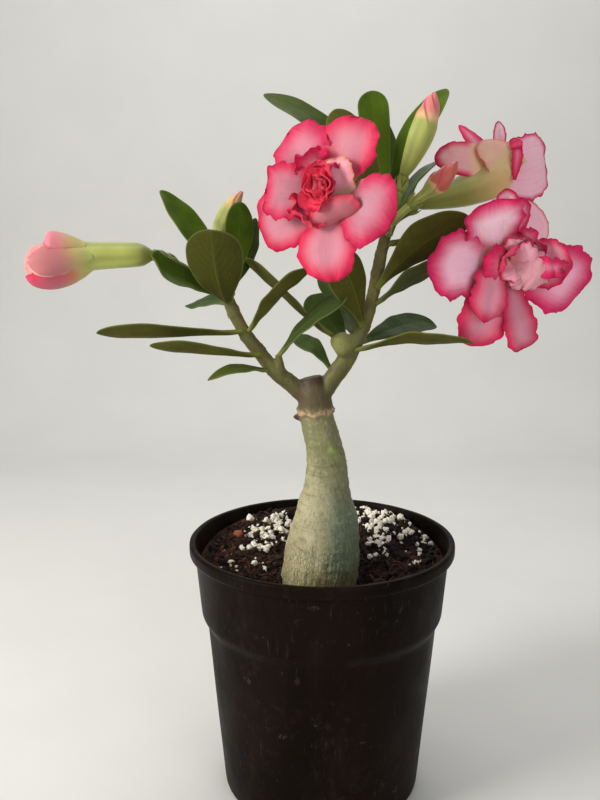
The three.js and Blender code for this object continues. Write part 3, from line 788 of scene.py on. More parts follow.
def perlitePaint():
    paint, tone = Paint("perlite", Roughness=0.9, Subsurface_Weight=0.15, Specular_IOR_Level=0.3,
                        Subsurface_Radius=(0.001, 0.0008, 0.0006)), soilTones
    spot = paint.place()
    pits = noise(spot, 0.8, 4.0, 0.65)
    colour = mix(ramp(pits, 0.55, 0.3), tone["perlite"], tone["perliteShade"])
    stained = blotches(spot, 420.0, 0.66, 0.06) * ramp(paint.layer("tone"), 0.3, 1.0, 0.15, 0.7)
    return paint.finish(mix(stained, colour, tone["fibre"]), pits, 0.5)


def chipPaint():
    # bark, coir and one brick chip: tone runs from dark bark through coir brown to brick
    paint, tone = Paint("barkAndBrick", Roughness=0.88, Specular_IOR_Level=0.25), soilTones
    kind = paint.layer("tone")
    colour = mix(ramp(kind, 0.1, 0.75), tone["brown"], tone["fibre"])
    colour = mix(ramp(kind, 0.85, 0.95), colour, tone["brick"])
    grain = noise(paint.place((1, 1, 1), (0.3, 0.2, 0.5)), 0.6, 4.0, 0.7)
    return paint.finish(mix(grain * 0.55, colour, tone["black"]), grain, 0.4)


# each stem's centre line, with a radius at each point
caudexStems = dict(
    trunk=dict(
        path=[(0, -12, 66), (-1, -12, 80), (-2, -12, 96), (-1.5, -12, 108), (-0.5, -11.5, 116), (0.5, -10, 126),
              (1.7, -8, 137), (1.7, -6, 147), (2.1, -4, 157), (1.7, -2.5, 168), (-0.4, -1.5, 179), (-2.6, 0, 188),
              (-3.4, 0, 193), (-4.2, 0, 200), (-6, 0, 207.5)],
        radii=[2, 8, 15.5, 18, 18.2, 17.6, 16.1, 13.4, 10.8, 9.2, 8.5, 8.1, 8.3, 7.4, 5.2]),
    left=dict(
        path=[(-4, 0, 196), (-10, 0, 200), (-16, 0, 205), (-22, -1, 210), (-28, -1, 217), (-35, -2, 226),
              (-40, -3, 235), (-44, -4, 244), (-46, -4, 250)],
        radii=[4.4, 4.3, 4.0, 3.8, 3.5, 3.2, 3.0, 3.0, 2.2]),
    right=dict(
        path=[(-3, 0, 196), (1, 0, 201.5), (5.5, 0, 208), (9.8, 0, 214), (13, 0, 220.5), (16.8, 0.5, 227.5),
              (20.6, 1.5, 236), (23.4, 3, 246), (25.6, 4, 257), (27.8, 6, 268), (30, 8, 277), (31, 9, 282)],
        radii=[4.6, 4.6, 4.4, 4.4, 4.5, 3.7, 3.3, 3.0, 3.0, 2.8, 2.7, 2.0]),
    stub=dict(path=[(12, 0, 217), (10, -2, 222), (8, -3, 226), (7, -3, 228.5)], radii=[3.6, 4.8, 4.9, 3.4]),
    shoot=dict(path=[(-18, 0, 206), (-20, -2, 212), (-21, -3, 219)], radii=[2.4, 2.2, 1.7]),
    thorn=dict(path=[(-7.5, 0, 188), (-11.5, -1, 188.2), (-14, -1, 189)], radii=[1.9, 1.6, 0.9]),
)
barkShape = dict(
    voxel=0.66, wrinkles=0.42, wrinkleTop=133.0, rings=0.16, lumps=0.3, graft=191.0, cutTop=206.5,
    # old leaf scars on the front: across, height, size, rise
    scars=[(-9, 133, 2.6, -0.45), (-8.5, 157, 1.7, -0.4), (10, 154, 2.2, 0.35), (2.3, 169, 2.0, -0.35),
           (-5, 176, 2.2, 0.4), (5, 173.5, 2.6, 0.8), (2.5, 123, 1.8, -0.5), (-3, 118, 2.8, 0.3), (-1, 146, 1.5, 0.3),
           (8.5, 182, 1.5, 0.4)],
    groove=dict(start=(-13.0, 130.5), end=(-2.0, 127.0), width=0.6, depth=0.3),
    bands=[(144, 0.2), (152, 0.12), (158, 0.2), (167, 0.24), (176, 0.14), (184, 0.14)],
    # small green sprouts: across, height, half-width, half-height, slant, strength
    sprouts=[(5, 173.5, 1.6, 4.2, 0.45, 1.0), (-5, 176, 1.2, 3.0, 0, 0.35)], knob=(8, -3, 226.0), stump=-5.2)
barkTones = dict(
    pale=srgb(186, 176, 140), sage=srgb(158, 152, 114), green=srgb(114, 114, 76), blueGreen=srgb(90, 106, 86),
    brown=srgb(104, 84, 54), dark=srgb(60, 46, 32), shade=srgb(100, 102, 76), young=srgb(96, 100, 46),
    olive=srgb(84, 82, 42), graft=srgb(186, 150, 116), lime=srgb(132, 150, 78), knob=srgb(138, 142, 80),
    neck=srgb(76, 62, 38), foot=srgb(128, 118, 70))


def fusedStems(paint):
    # the stems as round skins, fused by a voxel remesh and eased
    stems = []
    for stem in caudexStems.values():
        steps = 8 * len(stem["path"])
        radii = curveThrough(np.array(stem["radii"])[:, None], steps)[:, 0]
        stems.append(gridSkin(tubeGrid(curveThrough(stem["path"], steps), radii, 40), paint))
    rough = makePiece("caudex_stems", stems, "bark")
    fuse = rough.modifiers.new("fuse", "REMESH")
    fuse.mode, fuse.voxel_size = "VOXEL", barkShape["voxel"] * mm
    ease = rough.modifiers.new("ease", "SMOOTH")
    ease.factor, ease.iterations = 0.5, 5
    mesh = evaluated(rough)
    bpy.data.objects.remove(rough)
    return mesh


def makeCaudex():
    # every point of the fused stems is pushed along its normal by wrinkles, rings, scars and a groove
    bark, b = barkPaint(), barkShape
    mesh = fusedStems(bark)
    p, normal = pull(mesh.vertices, "co").astype(float) / mm, pull(mesh.vertices, "normal").astype(float)
    x, y, z = p.T
    level = np.stack([x, y, 0 * z], 1)
    trunk = smooth(z, 197, 190)
    cx, cy, _ = stemPlace(z)
    behind = 30 * (y > cy + 1)  # keeps the marks of the front off the back
    angle = np.arctan2(y - cy, x - cx)
    skin = np.stack([np.cos(angle) * 16, np.sin(angle) * 16, z * 0.22], 1)
    low = smooth(z, b["wrinkleTop"] + 12, b["wrinkleTop"] - 12) * trunk
    push = b["wrinkles"] * low * (softNoise(skin, 3.0, 31, 3) + 0.5 * softNoise(skin * [1, 1, 0.5], 1.5, 30, 2))
    push += b["rings"] * trunk * softNoise(np.stack([x * 0.12, y * 0.12, z], 1), 4.2, 32, 3)
    push += b["lumps"] * softNoise(p, 15, 33, 2) * (0.4 + 0.6 * trunk)
    push += 0.1 * softNoise(p, 2.6, 34, 2)
    # the graft's collar
    ragged = z + 0.9 * softNoise(level, 7, 35, 2) - b["graft"]
    onNeck = smooth(np.hypot(x - cx, y - cy), 13, 11)
    push += bell(ragged, 1.3, 4) * onNeck * (0.35 + 0.45 * softNoise(p, 1.9, 29, 2))
    push -= 0.35 * bell(ragged + 2.4, 0.8) * onNeck
    scar = np.zeros(len(p))
    for sx, sz, size, rise in b["scars"]:
        away = np.hypot(x - sx, (z - sz) * 1.3) + behind
        push += rise * bell(away, size) - 0.5 * rise * bell(away - size * 1.25, 0.4 * size)
        scar = np.maximum(scar, bell(away, size))
    groove = b["groove"]
    start, reach = np.array(groove["start"]), np.array(groove["end"]) - np.array(groove["start"])
    flat = np.stack([x, z], 1) - start
    share = np.clip(flat @ reach / (reach @ reach), 0, 1)[:, None]
    away = np.linalg.norm(flat - share * reach, axis=1) + behind
    push -= groove["depth"] * bell(away, groove["width"])
    scar = np.maximum(scar, 0.8 * bell(away, groove["width"]))
    # round leaf scars that wind up the branches
    dice = np.random.default_rng(36)
    for name, skip in (("left", 2), ("right", 1)):
        for k, centre in enumerate(curveThrough(caudexStems[name]["path"], 40)[6::skip]):
            spot = centre + 3.4 * unit(np.array([math.cos(2.4 * k), math.sin(2.4 * k), 0.2]))
            away = np.linalg.norm((p - spot) * [1, 1, 1.25], axis=1)
            push += 0.34 * bell(away - 1.5, 0.55) - 0.22 * bell(away, 0.9)
            scar = np.maximum(scar, 0.8 * bell(away, 1.2) * dice.uniform(0.4, 1))
    for height, lift in b["bands"]:
        push += lift * bell(z + 1.1 * softNoise(level, 12, 37 + height, 2) - height, 0.55) * trunk
    mesh.vertices.foreach_set("co", ((p + normal * push[:, None]) * mm).astype(np.float32).ravel())
    sprouts = 0
    for sx, sz, wide, tall, slant, share in b["sprouts"]:
        sprouts = sprouts + share * bell(x + slant * (z - sz) - sx, wide) * bell(z - sz, tall)
    stump = smooth(np.abs(x - b["stump"]), 7.2, 5.0) * (z < 212)
    values = dict(
        scar=scar, graft=bell(ragged, 1.5, 4) * onNeck, lime=sprouts * (behind == 0),
        knob=smooth(np.linalg.norm(p - b["knob"], axis=1), 8.5, 5.5), young=smooth(z, 197, 205) * (1 - stump),
        cut=stump * smooth(z, b["cutTop"] - 4, b["cutTop"]),
        dry=smooth(x + 0.3 * (z - 188), -9.5, -12.5) * (z < 192) * (z > 185))
    finishMesh(mesh, [bark], [0] * len(mesh.polygons), values)
    settle(addObject("caudex_bark", mesh), "bark", "caudex")
    print("caudex made:", len(mesh.polygons), "faces")


def barkPaint():
    # smooth grey-beige bark with sage and blue-green patches, crackle low down, brown scars, olive young wood; painted
    # light pales its left flank and painted shade darkens its right
    paint, tone = Paint("desertRoseBark", Specular_IOR_Level=0.35, Subsurface_Weight=0.05), barkTones
    spot = paint.place()
    axes = addNode(None, "SeparateXYZ", {0: spot}, None).outputs
    x, z = Value(axes[0]), Value(axes[2])
    # painted light pales the left flank and painted shade darkens the bark round to the right; the blue-green of that
    # flank is partly a kept skin of its own and partly painted shade
    drift = x + noise(spot, 9) * 0.012
    band = ramp(z, 0.108, 0.122) * ramp(z, 0.166, 0.142)
    # thin level lines, the scars of old leaf bases, upright streaks, and a net of fine wrinkles near the soil
    levels = ramp(texture(paint.place((45, 45, 900)), 1.0, 3.0), 0.58, 0.7) * ramp(z, 0.126, 0.14)
    streaks = texture(paint.place((900, 900, 90)), 1.0, 3.0)
    crumbly = noise(paint.place((1, 1, 0.6)), 1.8, 5.0, 0.7)
    net = addNode(None, "TexVoronoi", {"Vector": paint.place((1, 1, 0.45)), "Scale": 760.0, "Randomness": 1.0},
                  feature="DISTANCE_TO_EDGE")
    lines = (1.0 - ramp(net, 0.0, 0.16)) * ramp(z, 0.14, 0.124)
    marks = calc("MAXIMUM", spots(spot, 520.0, 0.3, 0.09) * 0.35, paint.layer("scar") * 0.3)
    colour = coats(
        tone["pale"], tone,
        (blotches(paint.place((1, 1, 0.7)), 55.0, 0.5, 0.16), "sage"),
        (blotches(paint.place((1, 1, 0.5), (0.2, 0, 0.4)), 75.0, 0.55, 0.12) * 0.7, "green"),
        # painted light on the left flank, painted shade towards the right, and a blue-green flank that is partly skin
        # and partly painted shade
        (ramp(drift, 0.002, -0.008) * 0.5, "pale"),
        (ramp(drift, -0.005, 0.012) * 0.65, "shade"),
        (ramp(drift, 0.006, 0.014) * band * 0.85, "blueGreen"),
        (ramp(z + drift * 0.8, 0.158, 0.18) * 0.92, "green"),
        (ramp(z, 0.126, 0.114) * 0.4, "foot"),
        (levels * 0.3, "olive"),
        (ramp(streaks, 0.5, 0.7) * 0.42, "olive"),
        (ramp(crumbly, 0.5, 0.68) * 0.3, "pale"),
        (ramp(crumbly, 0.46, 0.3) * 0.3, "shade"),
        (ramp(z, 0.189, 0.196) * 0.88, "neck"),
        (paint.layer("young"), mix(ramp(noise(spot, 7, 4.0), 0.4, 0.62), tone["olive"], tone["young"])),
        (paint.layer("knob") * 0.7, "knob"),
        (paint.layer("cut") * ramp(crumbly, 0.35, 0.6, 0.5, 1.0), "dark"),
        (lines * 0.5, "olive"),
        (marks, "brown"),
        (paint.layer("graft") * ramp(noise(spot, 2.4), 0.38, 0.6), "graft"),
        (paint.layer("dry"), "dark"),
        (paint.layer("lime"), "lime"))
    height = noise(spot, 1.4, 4.0, 0.6) * 0.8 + streaks * 0.5 - lines * 0.5 + marks * 0.6
    return paint.finish(colour, height, 0.35, ramp(noise(spot, 5), 0.3, 0.7, 0.5, 0.66))


makeCaudex()
makeSoil()
makeGrains()
print("soil made")


def rimDistance(run, half, across):
    # for each grid point of a flat blade: how far in from the outline it is, and how far round the outline
    x, y = run[:, None] + 0 * across[None], half[:, None] * across[None]
    outline = np.concatenate([np.stack([run, half], 1), np.stack([run, -half], 1)[::-1]])
    walk = walkAlong(outline)
    gaps = np.hypot(x[..., None] - outline[:, 0], y[..., None] - outline[:, 1])
    return gaps.min(-1), walk[gaps.argmin(-1)] / walk[-1]


def walkAlong(line):
    # the distance walked along a line at each of its points
    return np.concatenate([[0], np.cumsum(np.linalg.norm(np.diff(line, axis=0), axis=1))])


def rippleOf(place, waves, seed):
    # a wavy line of three sines, waves long ones round the outline and shorter ones on top
    dice = np.random.default_rng(seed)
    total = 0
    for count, weight in ((waves, 1.0), (waves * 1.83, 0.55), (waves * 3.1, 0.3)):
        total = total + weight * np.sin(fullTurn * (count * place + dice.uniform()))
    return total


def sheetSkin(mid, thick, paint, layers):
    # a sheet of given thickness about a mid surface: point = mid +- normal thickness / 2, joined at the rim
    normal = unit(np.cross(np.gradient(mid, axis=0), np.gradient(mid, axis=1)))
    normal[0], normal[-1] = normal[1], normal[-2]
    over, under = mid + normal * thick[..., None] / 2, mid - normal * thick[..., None] / 2
    layers = {name: value + 0 * thick for name, value in layers.items()}
    both = {name: np.concatenate([value, value[:, ::-1]], 1) for name, value in layers.items()}
    both["upper"] = np.concatenate([np.ones(thick.shape), np.zeros(thick.shape)], 1)
    return gridSkin(np.concatenate([over, under[:, ::-1]], 1), paint, layers=both)


def evenSides(columns):
    # -1 to 1, closer together towards the two sides
    return np.sin(np.linspace(-math.pi / 2, math.pi / 2, columns))


def bladeGrid(habit, length, halfWidth, outline):
    # fractions along, closer together towards the tip, fractions across, half-widths, the distance in from the
    # outline, and the way round it
    u, across = 1 - (1 - np.linspace(0, 1, habit["rows"])) ** habit["crowd"], evenSides(habit["columns"])
    half = halfWidth * outline(u, habit)
    return (u, across, half) + rimDistance(u * length, half, across)


def roundedTip(u, habit, power):
    # the share of the width left towards the tip: (1 - ((u - widest) / (1 - widest))^blunt)^power
    past = np.clip((u - habit["widest"]) / (1 - habit["widest"]), 0, 1)
    return (1 - past ** habit["blunt"]) ** power


def leafOutline(u, habit):
    # half-width as a share of the widest: an S-curve out of the stalk, then an oval tip
    return (habit["stalk"] + (1 - habit["stalk"]) * smooth(u, 0, habit["widest"])) * roundedTip(u, habit, 0.55) + 0.012


def petalOutline(u, habit):
    # half-width as a share of the widest: a claw that opens quickly, then a broad round lobe
    opened = np.sin(np.clip(u / habit["widest"], 0, 1) * math.pi / 2) ** 1.3
    return (habit["claw"] + (1 - habit["claw"]) * opened) * roundedTip(u, habit, 0.5) + 0.015


def bladeSurface(blade, u, out, extra):
    # point = root + along s + side (centre + out) + face (fitted lift + extra)
    s = u[:, None] + 0 * out
    f = blade["fit"]
    lift = f[0] + f[1] * s + f[2] * s**2 + f[3] * s**3 + f[4] * out + f[5] * out * s + f[6] * out**2 + extra
    return (blade["root"] + blade["along"] * (s * blade["length"])[..., None]
            + blade["side"] * (polyval(s, blade["centre"]) + out)[..., None] + blade["face"] * lift[..., None])


leafShape = dict(
    rows=54, columns=19, crowd=1.5, thickness=1.15, widest=0.66, stalk=0.15, blunt=2.1, wave=0.5, waves=3.0,
    waveReach=4.0, tipTurn=0.0, roll=0.0, grooved=0.45, rib=0.75, ribWidth=1.0, olive=0.3, blue=0.0, dark=0.0,
    wider=1.0)
# what is particular to a leaf: roll bends its sides up, tipTurn its tip, olive, blue and dark shift its colour; blue
# and dark are partly the leaf's own darker green and partly painted shade
leafHabits = dict(
    leaf_left_01=dict(olive=0.65, widest=0.72, blunt=1.6, roll=0.15, wave=0.2),
    leaf_left_02=dict(olive=1.0, blunt=1.8, roll=0.1, wave=0.2, wider=1.12),
    leaf_left_03=dict(olive=0.6, blue=0.35, widest=0.55, blunt=1.5, tipTurn=-1, wider=0.75, wave=0.2),
    leaf_left_04=dict(olive=0.75, dark=0.85, widest=0.7, blunt=2.8, rib=0.9),
    leaf_left_05=dict(olive=0.1, widest=0.6, blunt=1.7, roll=0.3),
    leaf_left_06=dict(olive=0.1, dark=0.45, roll=0.5, tipTurn=4),
    leaf_left_07=dict(blue=0.75, olive=0.1, widest=0.6, blunt=1.6),
    leaf_left_08=dict(dark=0.25, olive=0.1),
    leaf_left_09=dict(dark=0.5, blue=0.4),
    leaf_left_10=dict(olive=0.85, widest=0.58),
    leaf_left_11=dict(dark=1.0, blue=0.35),
    leaf_right_01=dict(olive=0.75, widest=0.6, blunt=1.6),
    leaf_right_02=dict(dark=0.6, blue=0.35, blunt=2.6),
    leaf_right_03=dict(dark=0.7, blue=0.2, blunt=2.6),
    leaf_right_04=dict(blue=0.5, dark=0.3),
    leaf_right_05=dict(olive=0.9, dark=0.6),
    leaf_right_06=dict(blue=0.7, olive=0.4),
    leaf_right_07=dict(olive=1.0, widest=0.6, blunt=2.4),
    leaf_right_08=dict(blue=0.7, olive=0.6, widest=0.6, blunt=1.6),
    leaf_right_09=dict(olive=0.0, dark=1.0, blunt=2.8),
    leaf_right_10=dict(olive=0.9, widest=0.62, blunt=1.7),
    leaf_right_11=dict(dark=0.55, widest=0.68),
    leaf_right_12=dict(olive=0.45, blunt=2.6),
    leaf_right_13=dict(olive=0.15, dark=0.2, widest=0.86, blunt=2.4, stalk=0.4, tipTurn=-3),
    leaf_right_14=dict(olive=0.05, dark=0.1, blunt=1.8),
    leaf_right_15=dict(dark=0.4, blue=0.3),
    leaf_right_16=dict(dark=0.35, blue=0.6),
    leaf_right_17=dict(blue=0.8, dark=0.1, widest=0.6),
)
# the underside tones under and underDark are partly the leaf's own olive and partly painted shade with a painted warm
# reflection
leafTones = dict(
    top=srgb(78, 104, 22), topDark=srgb(42, 64, 14), blue=srgb(60, 80, 56), olive=srgb(90, 80, 26),
    under=srgb(88, 86, 36), underDark=srgb(60, 62, 20), rib=srgb(124, 132, 58), rimPale=srgb(158, 164, 104),
    stalk=srgb(112, 120, 52))


def makeLeaf(node, parent, seed):
    habit = {**leafShape, **leafHabits.get(node, {})}
    blade = readBlade(node, parent)
    u, across, half, edge, walk = bladeGrid(habit, blade["length"], blade["half"] * habit["wider"], leafOutline)
    out = half[:, None] * across[None]
    body = smooth(u, 0.1, 0.3)[:, None]
    extra = habit["wave"] * rippleOf(walk, habit["waves"], seed) * bell(edge, habit["waveReach"], 1) * body
    extra = extra + habit["roll"] * np.abs(out) * body * 0.5
    extra = extra + habit["tipTurn"] * smooth(u, 0.7, 1.0)[:, None] ** 2
    mid = bladeSurface(blade, u, out, extra)
    thick = habit["thickness"] * (0.32 + 0.68 * (1 - across[None] ** 2) ** 0.5)
    thick = thick * (1 + 0.8 * smooth(u, 0.22, 0.02)[:, None]) * (1 - 0.6 * smooth(u, 0.85, 1)[:, None])
    tints = {name: habit[name] for name in ("olive", "blue", "dark")}
    skin = sheetSkin(mid, thick, leafPaint, dict(edge=edge, along=u[:, None], across=across[None], **tints))
    # the midrib: a shallow groove above, a ridge below that thins to the tip
    columns = habit["columns"]
    fade = smooth(u, 0.0, 0.12) * (1 - 0.75 * smooth(u, 0.35, 0.95))
    down = bell(out, habit["ribWidth"]) * fade[:, None]
    depth = np.concatenate([habit["grooved"] * 0.5 * down, habit["rib"] * down[:, ::-1]], 1)
    skin["verts"][: len(u) * 2 * columns] -= blade["face"] * depth.reshape(-1, 1)
    makePiece(node.replace("leaf", "blade"), [skin], "leaf", node)


def makeLeafPaint():
    paint, tone = Paint("thickLeaf", Specular_IOR_Level=0.05, Subsurface_Weight=0.06,
                        Subsurface_Radius=(0.001, 0.002, 0.0004)), leafTones
    spot, dark = paint.place(), paint.layer("dark")
    along, across, edge, upper = (paint.layer(name) for name in ("along", "across", "edge", "upper"))
    net = useGroup(veins, Across=across, Along=along)
    cloudy = blotches(spot, 120.0)
    fringe = useGroup(rim, Edge=edge, Width=0.8, Across=across, Along=along, Ragged=0.15)["Mask"]
    # dark and blue lay on each leaf's darker tint, partly its own colour and partly painted shade; the underside
    # colour is partly painted shade
    top = coats(
        tone["top"], tone, (cloudy * 0.45, "topDark"), (dark, "topDark"), (paint.layer("olive") * 0.75, "olive"))
    under = coats(tone["under"], tone, (cloudy * 0.5, "underDark"), (dark, "underDark"))
    colour = coats(
        under, tone, (upper, top),
        (paint.layer("blue") * 0.7, "blue"),
        (net["Side"] * 0.04, "rib"),
        (net["Midrib"] * ramp(along, 1.0, 0.3, 0.06, 0.3), "rib"),
        # a pale fringe at the outline: partly the leaf's pale margin, partly painted rim light
        (fringe * 0.2, "rimPale"),
        (ramp(along, 0.14, 0.0), "stalk"),
        (spots(spot, 1100.0, 0.3, 0.16) * 0.14, "rimPale"))
    wax = ramp(noise(spot, 6), 0.3, 0.7, 0.44, 0.58) + (1.0 - upper) * 0.12
    return paint.finish(colour, paint.grain() * 0.5 + net["Side"] * -0.22 + cloudy * 0.5, 0.12, wax)


leafPaint = makeLeafPaint()
firstSeeds = dict(leaf=100, flower=300, stalk=700, bud=720)
caudexCloud = trianglesOf("caudex")[:, 0]
leafNames = sorted(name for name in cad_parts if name.startswith("leaf_"))
for count, name in enumerate(leafNames):
    makeLeaf(name, caudexCloud, firstSeeds["leaf"] + count)
print("leaves made:", len(leafNames))


petalShape = dict(
    rows=46, columns=33, crowd=1.7, thickness=0.75, widest=0.62, claw=0.26, blunt=2.5, ripple=1.1, waves=4.0,
    reach=6.0, recurve=1.2, rimWidth=6.5, warm=0.0, pale=0.0, dusk=0.0, coral=0.0, cream=0.0, peach=0.0, skip=0.0,
    deep=0.0, green=0.0, shift=(0, 0, 0), longer=1.0, tatter=0.022, tears=11, pleats=0.15)
petalTints = ("warm", "pale", "dusk", "rimWidth", "coral", "cream", "peach", "deep", "green")
# what is particular to a flower's petals, then to one petal; the near-black tint set per petal is painted shade, and
# dusk is partly the petals' dusky pink and partly painted shade
petalHabits = dict(
    flower_front=dict(warm=0.8, rimWidth=9.0, dusk=0.2, deep=0.36, tatter=0.03, pleats=0.4),
    flower_front_petal_1=dict(ripple=1.0, warm=0.65, blunt=3.0, dusk=0.5, deep=0.3),
    flower_front_petal_2=dict(rimWidth=9.5, warm=0.35, blunt=2.8, pale=0.1, dusk=0.3, deep=0.42),
    flower_front_petal_3=dict(rimWidth=8.0, warm=0.7, blunt=2.0, recurve=2.0),
    flower_front_petal_4=dict(rimWidth=7.0, warm=0.65, blunt=2.6),
    flower_front_petal_5=dict(rimWidth=11.0, warm=0.3, blunt=2.2, tatter=0.04, dusk=0.55, deep=0.3),
    flower_right=dict(warm=0.05, rimWidth=7.5, ripple=1.2, tatter=0.045, pleats=0.25),
    flower_right_petal_1=dict(rimWidth=6.5, blunt=4.0, widest=0.68, pale=0.6, waves=3.0),
    flower_right_petal_2=dict(rimWidth=8.0, blunt=2.6, widest=0.6, pale=0.3),
    flower_right_petal_3=dict(rimWidth=10.0, warm=0.4, dusk=0.5, deep=0.1),
    flower_right_petal_4=dict(rimWidth=6.0, warm=0.3, dusk=0.6, deep=0.28, blunt=7.0, widest=0.75, tatter=0.06),
    flower_right_petal_5=dict(rimWidth=10.0, ripple=1.5, blunt=3.0),
    flower_back=dict(warm=0.1, rimWidth=3.0, pale=0.3, ripple=0.5),
    flower_back_petal_1=dict(dusk=0.1, rimWidth=3.4, warm=0.5, blunt=2.6, widest=0.45, claw=0.6, peach=0.3,
                             skip=-0.3, shift=(0, 4.5, 1.8)),
    flower_back_petal_2=dict(rimWidth=1.6, warm=0.4, ripple=0.4, claw=1.1, widest=0.3, blunt=2.4, peach=0.65,
                             recurve=0.2, skip=-0.4, shift=(-1, -1.2, -1), longer=1.06, cream=0.5, green=0.35),
    flower_back_petal_3=dict(rimWidth=2.6, pale=0.55, blunt=3.6, widest=0.45, claw=0.8, ripple=0.9, tatter=0.03,
                             shift=(-1, 0, 1.5), skip=0.5, dusk=0.15, pleats=0.4),
    flower_back_petal_4=dict(rimWidth=4.0, ripple=0.2, widest=0.25, claw=0.8, blunt=0.9, dusk=0.1, pale=0.0),
    flower_back_petal_5=dict(rimWidth=1.4, pale=0.6, widest=0.6, cream=0.3, dusk=0.15, skip=0.4),
)
petalTones = dict(
    heart=srgb(248, 214, 176), middle=srgb(240, 176, 200), middleWarm=srgb(246, 152, 168), rim=srgb(206, 26, 92),
    rimWarm=srgb(230, 24, 72), line=srgb(150, 16, 60), pale=srgb(248, 212, 222), under=srgb(226, 138, 146),
    underBase=srgb(206, 180, 108), dusk=srgb(206, 112, 126), coral=srgb(226, 56, 84), peach=srgb(218, 180, 130),
    green=srgb(178, 182, 110), shade=(0.02, 0, 0, 1))


def petalLayers(habit, u, across, edge, seed):
    along = habit["skip"] + (1 - habit["skip"]) * u[:, None]
    tints = {name: habit[name] for name in petalTints}
    return dict(edge=edge, along=along, across=across[None], seed=seed * 0.37, **tints)


def petalRuffle(habit, u, across, edge, walk, seed):
    # waves that grow towards the outline, a rim that turns back, and soft pleats that run along the petal
    body = smooth(u, 0.15, 0.5)[:, None]
    ripple = habit["ripple"] * rippleOf(walk, habit["waves"], seed) * np.exp(-edge / habit["reach"] * 1.6)
    pleats = habit["pleats"] * np.sin(6.5 * across + seed) * (1 - across**4)
    return (ripple - habit["recurve"] * np.exp(-edge / 3.0) + pleats[None]) * body


def tornEdge(habit, walk, edge, seed):
    # out from the middle, 1 + tatter ripple exp(-edge / 2)
    return 1 + habit["tatter"] * rippleOf(walk, habit["tears"], seed) * np.exp(-edge / 2.0)


def makePetal(node, flower, parent, seed):
    habit = {**petalShape, **petalHabits[flower], **petalHabits[node]}
    blade = readBlade(node, parent)
    blade["root"] = blade["root"] + np.array(habit["shift"])
    blade["length"] *= habit["longer"]
    u, across, half, edge, walk = bladeGrid(habit, blade["length"], blade["half"], petalOutline)
    out = half[:, None] * across[None] * tornEdge(habit, walk, edge, seed + 5)
    mid = bladeSurface(blade, u, out, petalRuffle(habit, u, across, edge, walk, seed))
    thick = habit["thickness"] * (0.35 + 0.65 * np.minimum(1, edge / 2.5)) * (1 + 0.9 * smooth(u, 0.3, 0.0)[:, None])
    skin = sheetSkin(mid, thick, petalPaint, petalLayers(habit, u, across, edge, seed))
    makePiece(node.replace("_petal", "_lobe"), [skin], "petal", node)


def foldedPetal(flower, throat, clock, line, width, habit, seed):
    # an inner petal: its centre line runs through points of (out, rise, sideways) from the throat, seen in the
    # direction clock; across it is an arc, side sin(a) / roll and face (1 - cos(a)) / roll, a = across x roll
    habit = {**petalShape, **petalHabits[flower], **innerShape, **habit}
    axis = unit(np.array(flowerFaces[flower], float))
    up = unit(np.array([0, 0, 1.0]) - axis * axis[2])
    right = np.cross(up, axis)
    clock, (hubClock, hubOut, hubRise) = math.radians(clock), habit["hub"]
    outward = up * math.cos(clock) + right * math.sin(clock)
    side, hub = np.cross(axis, outward), math.radians(hubClock)
    origin = throat + (up * math.cos(hub) + right * math.sin(hub)) * hubOut + axis * hubRise
    line = curveThrough(line, 120) @ np.stack([outward, axis, side])
    walked = walkAlong(line)
    length = walked[-1]
    u, across, half, edge, walk = bladeGrid(habit, length, width / 2, petalOutline)
    path = origin + np.stack([np.interp(u * length, walked, line[:, k]) for k in range(3)], 1)
    face = unit(np.cross(unit(np.gradient(path, axis=0)), side))
    bend = habit["roll"] * (0.5 + 0.5 * u[:, None]) + 1e-4
    angle = across[None] * bend
    out = half[:, None] * np.sin(angle) / bend * tornEdge(habit, walk, edge, seed + 3)
    lift = half[:, None] * (1 - np.cos(angle)) / bend + petalRuffle(habit, u, across, edge, walk, seed)
    mid = path[:, None] + side * out[..., None] + face[:, None] * lift[..., None]
    thick = habit["thickness"] * (0.35 + 0.65 * np.minimum(1, edge / 2.5))
    return sheetSkin(mid, thick, petalPaint, petalLayers(habit, u, across, edge, seed))


